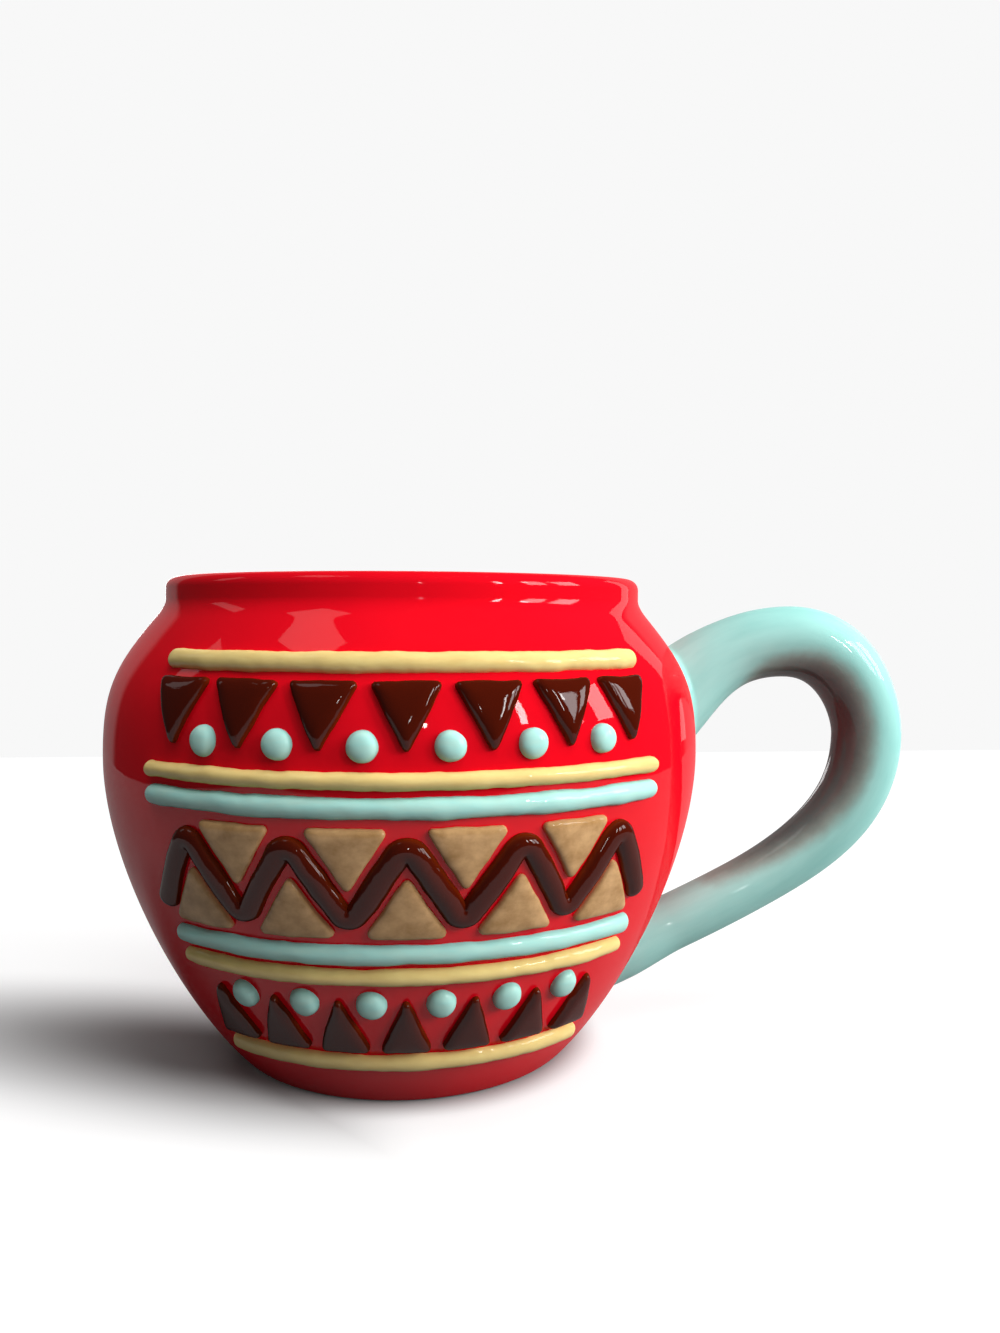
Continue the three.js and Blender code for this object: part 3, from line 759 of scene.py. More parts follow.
def finish_slip(tree, laid, given):
    """Ends a slip tree: hand-drawn wobble, surface coordinates, smooth faces and material."""
    here = put(tree, "GeometryNodeInputPosition")
    stray = put(tree, "ShaderNodeTexNoise", {
        "Vector": here, "W": given["Seed"], "Scale": per_mm(STRAY_MM), "Detail": 2.0},
        noise_dimensions="4D").outputs["Color"]
    # The noise runs from 0 to 1, so it is centred and doubled, and kept along the wall
    centred = put(tree, "ShaderNodeVectorMath", {0: stray, 1: (0.5, 0.5, 0.5)}, operation="SUBTRACT")
    sized = put(tree, "ShaderNodeVectorMath", {0: centred, "Scale": given["Wobble"]}, operation="SCALE")
    sideways = put(tree, "ShaderNodeVectorMath", {0: sized, 1: (2.0, 2.0, 0.0)}, operation="MULTIPLY")
    strayed = put(tree, "GeometryNodeSetPosition", {"Geometry": laid, "Offset": sideways})
    height = put(tree, "ShaderNodeSeparateXYZ", {"Vector": here}).outputs["Z"]
    rise = put(tree, "ShaderNodeMath", {0: height, 1: given["Lift"]}, operation="DIVIDE")
    lifted = put(tree, "GeometryNodeStoreNamedAttribute", {
        "Geometry": strayed, "Name": "lift", "Value": rise}, data_type="FLOAT", domain="POINT")
    mapped = put(tree, "GeometryNodeStoreNamedAttribute", {
        "Geometry": lifted, "Name": "UVMap", "Value": here}, data_type="FLOAT2", domain="CORNER")
    smooth = put(tree, "GeometryNodeSetShadeSmooth", {"Geometry": mapped})
    real = put(tree, "GeometryNodeRealizeInstances", {"Geometry": smooth})
    dressed = put(tree, "GeometryNodeSetMaterial", {"Geometry": real, "Material": given["Material"]})
    put(tree, "NodeGroupOutput", {"Geometry": dressed})


def trailed_line_tree():
    """A line of slip, straight or zigzag, with a domed section and round ends."""
    tree, given = new_tree("trailed_line", {
        "Length": "Float", "Corners": "Int", "Climb": "Float", "Corner Radius": "Float",
        "Width": "Float", "Lift": "Float", "Seat": "Float", "Wobble": "Float", "Seed": "Float",
        "Material": "Material"})
    here = put(tree, "GeometryNodeInputPosition")

    # Route: corners in a row, every other one raised
    half = put(tree, "ShaderNodeMath", {0: given["Length"], 1: 0.5}, operation="MULTIPLY")
    start = put(tree, "ShaderNodeMath", {0: half, 1: -1.0}, operation="MULTIPLY")
    corners = put(tree, "GeometryNodeMeshLine", {
        "Count": given["Corners"], "Start Location": put(tree, "ShaderNodeCombineXYZ", {"X": start}),
        "Offset": put(tree, "ShaderNodeCombineXYZ", {"X": half})}, mode="END_POINTS")
    index = put(tree, "GeometryNodeInputIndex")
    parity = put(tree, "ShaderNodeMath", {0: index, 1: 2.0}, operation="MODULO")
    swing = put(tree, "ShaderNodeMath", {0: parity, 1: 0.5}, operation="SUBTRACT")
    raised = put(tree, "ShaderNodeMath", {0: swing, 1: given["Climb"]}, operation="MULTIPLY")
    swung = put(tree, "GeometryNodeSetPosition", {
        "Geometry": corners, "Offset": put(tree, "ShaderNodeCombineXYZ", {"Y": raised})})
    route = put(tree, "GeometryNodeMeshToCurve", {"Mesh": swung})
    rounded = put(tree, "GeometryNodeFilletCurve", {
        "Curve": route, "Radius": given["Corner Radius"], "Count": LINE_CORNER_STEPS,
        "Limit Radius": True}, mode="POLY")
    stepped = put(tree, "GeometryNodeResampleCurve", {
        "Curve": rounded, "Length": LINE_STEP}, mode="LENGTH")
    upright = put(tree, "GeometryNodeSetCurveNormal", {"Curve": stepped}, mode="Z_UP")

    # Size along the route: round at both ends, and as uneven as a hand's pressure
    travelled = put(tree, "GeometryNodeSplineParameter").outputs["Length"]
    whole = put(tree, "GeometryNodeSplineLength")
    left = put(tree, "ShaderNodeMath", {0: whole, 1: travelled}, operation="SUBTRACT")
    nearest = put(tree, "ShaderNodeMath", {0: travelled, 1: left}, operation="MINIMUM")
    half_width = put(tree, "ShaderNodeMath", {0: given["Width"], 1: 0.5}, operation="MULTIPLY")
    short = put(tree, "ShaderNodeMapRange", {
        "Value": nearest, "From Max": half_width, "To Min": 1.0, "To Max": 0.0})
    squared = put(tree, "ShaderNodeMath", {0: short, 1: short}, operation="MULTIPLY")
    rest = put(tree, "ShaderNodeMath", {0: 1 + TIP_SHARE ** 2, 1: squared}, operation="SUBTRACT")
    ending = put(tree, "ShaderNodeMath", {0: rest}, operation="SQRT")
    pressure = put(tree, "ShaderNodeTexNoise", {
        "Vector": here, "W": given["Seed"], "Scale": per_mm(PRESSURE_MM), "Detail": 1.0},
        noise_dimensions="4D")
    pressed = put(tree, "ShaderNodeMapRange", {
        "Value": pressure, "From Min": 0.25, "From Max": 0.75, "To Min": 0.9, "To Max": 1.08})
    size = put(tree, "ShaderNodeMath", {0: ending, 1: pressed}, operation="MULTIPLY")

    # Section: a flattened round, cut level where it is sunk in the wall
    circle = put(tree, "GeometryNodeCurvePrimitiveCircle", {"Resolution": LINE_FACETS, "Radius": 1.0})
    spot = put(tree, "ShaderNodeSeparateXYZ", {"Vector": here}).outputs
    across = put(tree, "ShaderNodeMath", {0: spot["X"], 1: half_width}, operation="MULTIPLY")
    bulge = put(tree, "ShaderNodeMath", {0: spot["Y"], 1: given["Lift"]}, operation="MULTIPLY")
    cut = put(tree, "ShaderNodeMath", {0: bulge, 1: given["Seat"]}, operation="MINIMUM")
    dome = put(tree, "GeometryNodeSetPosition", {
        "Geometry": circle, "Position": put(tree, "ShaderNodeCombineXYZ", {"X": across, "Y": cut})})
    line = put(tree, "GeometryNodeCurveToMesh", {
        "Curve": upright, "Profile Curve": dome, "Scale": size, "Fill Caps": True})
    finish_slip(tree, line, given)
    return tree


def slip_patches_tree():
    """A row of filled patches with rounded corners and a pillowed top."""
    tree, given = new_tree("slip_patches", {
        "Corners": "Int", "Half Width": "Float", "Half Height": "Float", "Corner Radius": "Float",
        "Turn": "Float", "Count": "Int", "Pitch": "Float", "Lift": "Float", "Seat": "Float",
        "Dome": "Float", "Wobble": "Float", "Seed": "Float", "Material": "Material"})

    # Outline of one patch, its first corner up
    corners = put(tree, "GeometryNodeMeshCircle", {"Vertices": given["Corners"], "Radius": 1.0})
    pointed = put(tree, "GeometryNodeTransform", {"Geometry": corners, "Rotation": (0, 0, math.pi / 2)})
    half_sizes = put(tree, "ShaderNodeCombineXYZ", {
        "X": given["Half Width"], "Y": given["Half Height"], "Z": 1.0})
    spread = put(tree, "GeometryNodeTransform", {"Geometry": pointed, "Scale": half_sizes})
    turned = put(tree, "GeometryNodeTransform", {
        "Geometry": spread, "Rotation": put(tree, "ShaderNodeCombineXYZ", {"Z": given["Turn"]})})
    bounds = put(tree, "GeometryNodeMeshToCurve", {"Mesh": turned})
    outline = put(tree, "GeometryNodeFilletCurve", {
        "Curve": bounds, "Radius": given["Corner Radius"], "Count": PATCH_CORNER_STEPS,
        "Limit Radius": True}, mode="POLY")

    # Pillow: a grid whose columns go round the outline, its rows over the back and up to the top
    grid = put(tree, "GeometryNodeMeshGrid", {
        "Size X": 1.0, "Size Y": 1.0, "Vertices X": PATCH_POINTS, "Vertices Y": PATCH_ROWS})
    place = put(tree, "ShaderNodeSeparateXYZ", {
        "Vector": put(tree, "GeometryNodeInputPosition")}).outputs
    around = put(tree, "ShaderNodeMath", {0: place["X"], 1: 0.5}, operation="ADD")
    climb = put(tree, "ShaderNodeMath", {0: place["Y"], 1: 0.5}, operation="ADD")
    edge = put(tree, "GeometryNodeSampleCurve", {
        "Curves": outline, "Factor": around}, use_all_curves=True).outputs["Position"]
    back_share = PATCH_BACK_ROWS / (PATCH_ROWS - 1)
    back = put(tree, "ShaderNodeMapRange", {"Value": climb, "From Max": back_share})
    front = put(tree, "ShaderNodeMapRange", {
        "Value": climb, "From Min": back_share, "To Max": math.pi / 2})
    inwards = put(tree, "ShaderNodeMath", {0: front}, operation="COSINE")
    not_past = put(tree, "ShaderNodeMath", {0: inwards, 1: 0.0}, operation="MAXIMUM")
    inside = put(tree, "ShaderNodeMath", {0: not_past, 1: given["Dome"]}, operation="POWER")
    reach = put(tree, "ShaderNodeMath", {0: back, 1: inside}, operation="MULTIPLY")
    upwards = put(tree, "ShaderNodeMath", {0: front}, operation="SINE")
    dome = put(tree, "ShaderNodeMath", {0: upwards, 1: given["Dome"]}, operation="POWER")
    whole_lift = put(tree, "ShaderNodeMath", {0: given["Lift"], 1: given["Seat"]}, operation="ADD")
    top = put(tree, "ShaderNodeMath", {0: dome, 1: whole_lift}, operation="MULTIPLY")
    level = put(tree, "ShaderNodeMath", {0: top, 1: given["Seat"]}, operation="SUBTRACT")
    drawn_in = put(tree, "ShaderNodeVectorMath", {0: edge, "Scale": reach}, operation="SCALE")
    pillow = put(tree, "GeometryNodeSetPosition", {
        "Geometry": grid, "Position": drawn_in,
        "Offset": put(tree, "ShaderNodeCombineXYZ", {"Z": level})})
    welded = put(tree, "GeometryNodeMergeByDistance", {"Geometry": pillow, "Distance": SEAM_WELD})

    # Row of patches, its middle at the front
    gaps = put(tree, "ShaderNodeMath", {0: given["Count"], 1: 1.0}, operation="SUBTRACT")
    span = put(tree, "ShaderNodeMath", {0: gaps, 1: given["Pitch"]}, operation="MULTIPLY")
    start = put(tree, "ShaderNodeMath", {0: span, 1: -0.5}, operation="MULTIPLY")
    row = put(tree, "GeometryNodeMeshLine", {
        "Count": given["Count"], "Start Location": put(tree, "ShaderNodeCombineXYZ", {"X": start}),
        "Offset": put(tree, "ShaderNodeCombineXYZ", {"X": given["Pitch"]})})
    copies = put(tree, "GeometryNodeInstanceOnPoints", {"Points": row, "Instance": welded})
    real = put(tree, "GeometryNodeRealizeInstances", {"Geometry": copies})
    finish_slip(tree, real, given)
    return tree


def triangle(width, height):
    """Sizes of a three-cornered patch."""
    return {
        "Corners": 3, "Half Width": width / TRIANGLE_WIDTH, "Half Height": height / TRIANGLE_HEIGHT}


class FriezeLayout:
    """Heights and spacings of the frieze's rows, stacked out from the zigzag band."""

    def __init__(self, frieze, wall):
        bottom = frieze.foot_margin
        top = wall.shoulder_height - frieze.shoulder_margin
        self.band_bottom = (bottom + top - frieze.band_height) / 2
        self.band_top = self.band_bottom + frieze.band_height
        self.turquoise_out = frieze.row_gap + frieze.turquoise_width / 2
        inner_start = frieze.row_gap + frieze.turquoise_width + frieze.line_gap
        self.inner_out = inner_start + frieze.inner_width / 2
        self.tip_out = inner_start + frieze.inner_width + frieze.tip_gap
        self.base_out = self.band_bottom - bottom - frieze.border_width - frieze.row_gap
        self.border_out = self.base_out + frieze.row_gap + frieze.border_width / 2
        self.tooth_height = self.base_out - self.tip_out
        self.tooth_pitch = 2 * frieze.half_angle / frieze.tooth_count
        self.halves = {"upper": (self.band_top, 1), "lower": (self.band_bottom, -1)}


class MugOperator:
    """Shared by the operators: the settings, the pot's wall and the laying of slip on it."""

    bl_options = {"REGISTER", "UNDO"}

    def settings(self, context):
        mug = context.scene.mug
        wall = PotWall(mug.pot)
        return mug, wall, FriezeLayout(mug.frieze, wall)

    def lay(self, name, tree, sizes, frieze, wall, height, slot, nodes):
        """Grows a piece of slip, bends it onto the wall at a height and ties it to the frame."""
        piece = grow(name, tree, {**sizes, "Seat": frieze.seat, "Wobble": frieze.wobble})
        wrap_on_wall(piece.data, wall, height)
        stand_for(piece, slot, *nodes)


class MUG_OT_pot(MugOperator, bpy.types.Operator):
    """Turns the pot from its section, with red glaze and a bare foot ring"""

    bl_idname = "mug.pot"
    bl_label = "Pot"

    def execute(self, context):
        mug, wall, _ = self.settings(context)
        outline = wall.outline()[::-1]
        curve = bpy.data.curves.new("pot_section", "CURVE")
        curve.dimensions = "3D"
        spline = curve.splines.new("POLY")
        spline.points.add(len(outline) - 1)
        for point, (radius, height) in zip(spline.points, outline):
            point.co = (radius - mug.pot.belly_radius, -height, 0, 1)
        section = new_object("pot_section", curve)
        pot = grow("pot", turned_pot_tree(), {
            "Section": section, "Segments": mug.pot.segments, "Path Radius": mug.pot.belly_radius,
            "Glaze": red_glaze(mug.colours, mug.pot), "Clay": bare_clay(mug.colours),
            "Bare Below": mug.pot.bare_height})
        bpy.data.objects.remove(section)
        stand_for(pot, "red_glaze", "mug_body")
        return {"FINISHED"}


class MUG_OT_handle(MugOperator, bpy.types.Operator):
    """Rolls the handle along its loop and lutes both ends to the pot"""

    bl_idname = "mug.handle"
    bl_label = "Handle"

    def centre_line(self, handle, pot, wall):
        """Points and tangents along the middle of the loop, and the way travelled to each."""
        upper_height = pot.rim_height - handle.upper_root_drop
        upper = at(wall.radius(upper_height) - handle.upper_root_inset, upper_height)
        lower_height = handle.lower_root_height
        lower = at(wall.radius(lower_height) - handle.lower_root_inset, lower_height)
        crown = at(pot.belly_radius + handle.crown_out, handle.top - handle.crown_thickness / 2)
        outer = at(handle.reach - handle.bend_thickness / 2, handle.outer_height)
        root_span = crown[0] - upper[0]
        points, tangents = joined([
            bezier([
                upper,
                towards(upper, handle.upper_root_slope, handle.upper_root_pull * root_span),
                crown - at(handle.crown_in_pull * root_span, 0),
                crown,
            ], LOOP_STEPS),
            bezier([
                crown,
                crown + at(handle.crown_out_pull * (outer[0] - crown[0]), 0),
                outer + at(0, handle.bend_up_pull * (crown[1] - outer[1])),
                outer,
            ], LOOP_STEPS),
            bezier([
                outer,
                outer - at(0, handle.bend_down_pull * (outer[1] - lower[1])),
                towards(lower, handle.lower_root_slope, handle.lower_root_pull * (outer[0] - lower[0])),
                lower,
            ], TAIL_STEPS),
        ])
        steps = np.linalg.norm(np.diff(points, axis=0), axis=1)
        return points, tangents, np.concatenate([[0], np.cumsum(steps)])

    def thickness(self, handle, shares):
        """Thickness over the share of the loop's length, eased between stations."""
        stations = np.array([station for station, _ in THICKNESS_STATIONS])
        sizes = np.array([getattr(handle, name) for _, name in THICKNESS_STATIONS])
        place = np.clip(np.searchsorted(stations, shares, side="left"), 1, len(stations) - 1)
        local = (shares - stations[place - 1]) / (stations[place] - stations[place - 1])
        local = np.clip(local, 0, 1)
        ease = local ** 2 * (3 - 2 * local)
        return sizes[place - 1] + (sizes[place] - sizes[place - 1]) * ease

    def fillet(self, points, spread, wall, size):
        """How far points near the wall move outwards, along it, so that clay fills the corner."""
        near = np.clip(1 - wall.distance(points) / size, 0, 1)
        push = size * (1 - np.sqrt(1 - near ** 2))
        out, up = wall.outward(points[:, 2])
        turn = np.arctan2(points[:, 0] - AXIS.x, -(points[:, 1] - AXIS.y))
        normal = np.column_stack([out * np.sin(turn), -out * np.cos(turn), up])
        flat = spread - normal * np.sum(spread * normal, axis=1)[:, None]
        flat /= np.maximum(np.linalg.norm(flat, axis=1), LEAST_SPREAD)[:, None]
        return push[:, None] * flat

    def smoke(self, loop_share, inner_side):
        """How strongly the painted shade darkens the handle, from the loop's inner side outwards."""
        width = (1 - inner_side) / 2
        edge = np.interp(loop_share, *zip(*PAINTED_SHADE_SPREAD))
        return np.clip(0.5 + (edge - width) / PAINTED_SHADE_SOFTNESS, 0, 1)

    def execute(self, context):
        mug, wall, _ = self.settings(context)
        handle = mug.handle

        # Sweep: a round section along the loop, run on straight into the pot at both ends
        points, tangents, travelled = self.centre_line(handle, mug.pot, wall)
        total = travelled[-1]
        reach = np.arange(-RUN_ON, total + RUN_ON, HANDLE_STEP)
        centre = np.column_stack([np.interp(reach, travelled, points[:, i]) for i in (0, 1)])
        along = np.column_stack([np.interp(reach, travelled, tangents[:, i]) for i in (0, 1)])
        along /= np.linalg.norm(along, axis=1)[:, None]
        overshoot = reach - np.clip(reach, 0, total)
        centre += overshoot[:, None] * along
        radius = self.thickness(handle, np.clip(reach / total, 0, 1)) / 2
        turns = np.linspace(0, 2 * math.pi, HANDLE_SIDES, endpoint=False)
        outwards = np.stack([
            np.cos(turns) * along[:, 1:2],
            np.broadcast_to(np.sin(turns), (len(reach), HANDLE_SIDES)),
            -np.cos(turns) * along[:, 0:1],
        ], axis=-1)
        middle = np.stack([
            AXIS.x + centre[:, 0], np.full(len(reach), AXIS.y), centre[:, 1]], axis=-1)
        surface = middle[:, None, :] + radius[:, None, None] * outwards
        clear = wall.distance(surface)

        # Rings: each line along the sweep is cut at the wall and spaced afresh, closest at the roots
        half = len(reach) // 2
        swing = np.linspace(-math.pi / 2, math.pi / 2, HANDLE_RINGS)
        ring_shares = np.sin(swing) * 0.5 + 0.5
        rings = np.empty((HANDLE_RINGS, HANDLE_SIDES, 3))
        smoke = np.empty((HANDLE_RINGS, HANDLE_SIDES))
        along_uv = np.empty((HANDLE_RINGS, HANDLE_SIDES))
        places = np.arange(len(reach), dtype=float)
        for side in range(HANDLE_SIDES):
            inside = clear[:, side] < 0
            first = np.max(np.nonzero(inside[:half])[0])
            last = half + np.min(np.nonzero(inside[half:])[0])
            start = first + clear[first, side] / (clear[first, side] - clear[first + 1, side])
            end = last - clear[last, side] / (clear[last, side] - clear[last - 1, side])
            at_places = start + (end - start) * ring_shares
            cut, spread = [
                np.column_stack([np.interp(at_places, places, field[:, side, axis]) for axis in range(3)])
                for field in (surface, outwards)]
            rings[:, side] = cut + self.fillet(cut, spread, wall, handle.fillet)
            along_uv[:, side] = np.interp(at_places, places, reach)
            smoke[:, side] = self.smoke(along_uv[:, side] / total, math.cos(turns[side]))

        # One more ring at each end, sunk below the pot's surface
        sunk = rings[[0, -1]]
        for axis in (0, 1):
            sunk[..., axis] = AXIS[axis] + (sunk[..., axis] - AXIS[axis]) * SUNK_SHARE
        rings = np.concatenate([sunk[:1], rings, sunk[1:]])
        smoke = np.vstack([smoke[:1], smoke, smoke[-1:]])
        along_uv = np.vstack([along_uv[:1], along_uv, along_uv[-1:]])

        mesh = mesh_of_rings("handle", rings)
        # Strength of the painted shade at each point, read by the handle's material
        attribute = mesh.attributes.new("smoke", "FLOAT", "POINT")
        attribute.data.foreach_set("value", smoke.ravel())
        around_uv = np.broadcast_to(np.abs(turns - math.pi) * handle.crown_thickness / 2, along_uv.shape)
        uv = np.column_stack([around_uv.ravel(), along_uv.ravel()])
        corners = np.empty(len(mesh.loops), dtype=int)
        mesh.loops.foreach_get("vertex_index", corners)
        mesh.uv_layers.new(name="UVMap").data.foreach_set("uv", uv[corners].ravel())
        mesh.materials.append(handle_glaze(mug.colours))
        stand_for(new_object("rolled_handle", mesh), "turquoise_glaze", "handle")
        return {"FINISHED"}


class MUG_OT_lines(MugOperator, bpy.types.Operator):
    """Trails the six straight lines of slip"""

    bl_idname = "mug.lines"
    bl_label = "Slip lines"

    def execute(self, context):
        mug, wall, layout = self.settings(context)
        frieze = mug.frieze
        tree = trailed_line_tree()
        cream = (cream_slip(mug.colours), "cream_slip")
        turquoise = (turquoise_slip(mug.colours), "turquoise_glaze")
        kinds = [
            ("turquoise_line", layout.turquoise_out, frieze.turquoise_width, turquoise),
            ("inner_line", layout.inner_out, frieze.inner_width, cream),
            ("border_line", layout.border_out, frieze.border_width, cream),
        ]
        seed = 0.0
        for side, (edge, outwards) in layout.halves.items():
            for name, distance, width, (finish, slot) in kinds:
                seed += LINE_SEED_STEP
                height = edge + outwards * distance
                self.lay(f"{side}_{name}_slip", tree, {
                    "Length": 2 * frieze.half_angle * float(wall.radius(height)), "Corners": 2,
                    "Climb": 0.0, "Corner Radius": 0.0, "Width": width, "Lift": frieze.line_lift,
                    "Seed": seed, "Material": finish,
                }, frieze, wall, height, slot, [f"{side}_{name}"])
        return {"FINISHED"}


class MUG_OT_teeth(MugOperator, bpy.types.Operator):
    """Fills the two rows of dark teeth"""

    bl_idname = "mug.teeth"
    bl_label = "Teeth"

    def execute(self, context):
        mug, wall, layout = self.settings(context)
        frieze = mug.frieze
        tree = slip_patches_tree()
        brown = brown_slip(mug.colours)
        for row, (side, (edge, outwards)) in enumerate(layout.halves.items()):
            base = edge + outwards * layout.base_out
            base_width = layout.tooth_pitch * float(wall.radius(base)) - frieze.tooth_gap
            middle = base - outwards * layout.tooth_height / 3
            self.lay(f"{side}_teeth", tree, {
                **triangle(base_width, layout.tooth_height), "Corner Radius": frieze.tooth_round,
                "Turn": math.pi if outwards > 0 else 0.0, "Count": frieze.tooth_count,
                "Pitch": layout.tooth_pitch * float(wall.radius(middle)), "Lift": frieze.tooth_lift,
                "Dome": frieze.tooth_dome, "Seed": TOOTH_SEED + ROW_SEED_STEP * row, "Material": brown,
            }, frieze, wall, middle, "brown_slip", [
                f"{side}_tooth_{i + 1}" for i in range(frieze.tooth_count)])
        return {"FINISHED"}


class MUG_OT_dots(MugOperator, bpy.types.Operator):
    """Sets the two rows of turquoise dots between the teeth"""

    bl_idname = "mug.dots"
    bl_label = "Dots"

    def execute(self, context):
        mug, wall, layout = self.settings(context)
        frieze = mug.frieze
        tree = slip_patches_tree()
        turquoise = turquoise_slip(mug.colours)
        number = frieze.tooth_count - 1
        for row, (side, (edge, outwards)) in enumerate(layout.halves.items()):
            height = edge + outwards * (layout.tip_out + frieze.dot_rise)
            self.lay(f"{side}_dots", tree, {
                "Corners": DOT_CORNERS, "Half Width": frieze.dot_radius,
                "Half Height": frieze.dot_radius, "Corner Radius": 0.0, "Turn": 0.0, "Count": number,
                "Pitch": layout.tooth_pitch * float(wall.radius(height)), "Lift": frieze.dot_lift,
                "Dome": frieze.dot_dome, "Seed": DOT_SEED + ROW_SEED_STEP * row, "Material": turquoise,
            }, frieze, wall, height, "turquoise_glaze", [
                f"{side}_dot_{i + 1}" for i in range(number)])
        return {"FINISHED"}


class MUG_OT_zigzag(MugOperator, bpy.types.Operator):
    """Trails the zigzag and fills its bays"""

    bl_idname = "mug.zigzag"
    bl_label = "Zigzag band"

    def execute(self, context):
        mug, wall, layout = self.settings(context)
        frieze = mug.frieze
        middle = (layout.band_bottom + layout.band_top) / 2
        half_step = frieze.half_angle * float(wall.radius(middle)) / frieze.zigzag_count
        climb = frieze.band_height - frieze.zigzag_width
        self.lay("zigzag_slip", trailed_line_tree(), {
            "Length": 2 * frieze.zigzag_count * half_step, "Corners": 2 * frieze.zigzag_count + 1,
            "Climb": climb, "Corner Radius": frieze.zigzag_round, "Width": frieze.zigzag_width,
            "Lift": frieze.zigzag_lift, "Seed": ZIGZAG_SEED, "Material": brown_slip(mug.colours),
        }, frieze, wall, middle, "brown_slip", ["zigzag"])

        # Bays: what the zigzag's slant and the gap beside it leave of each half step
        slant = math.atan2(climb, half_step)
        inset = (frieze.zigzag_width / 2 + frieze.fill_gap) / math.sin(slant)
        rise = (half_step - inset) * math.tan(slant) + frieze.zigzag_width / 2
        width = 2 * rise / math.tan(slant)
        tree = slip_patches_tree()
        taupe = taupe_slip(mug.colours)
        rows = [
            ("standing_fills", frieze.zigzag_count, 0.0, layout.band_bottom + rise / 3, 1),
            ("hanging_fills", frieze.zigzag_count - 1, math.pi, layout.band_top - rise / 3, 2),
        ]
        for name, number, turn, height, first in rows:
            self.lay(name, tree, {
                **triangle(width, rise), "Corner Radius": frieze.fill_round, "Turn": turn,
                "Count": number,
                "Pitch": 2 * half_step * float(wall.radius(height) / wall.radius(middle)),
                "Lift": frieze.fill_lift, "Dome": frieze.fill_dome, "Seed": FILL_SEED + first,
                "Material": taupe,
            }, frieze, wall, height, "taupe_slip", [
                f"taupe_fill_{first + 2 * i}" for i in range(number)])
        return {"FINISHED"}


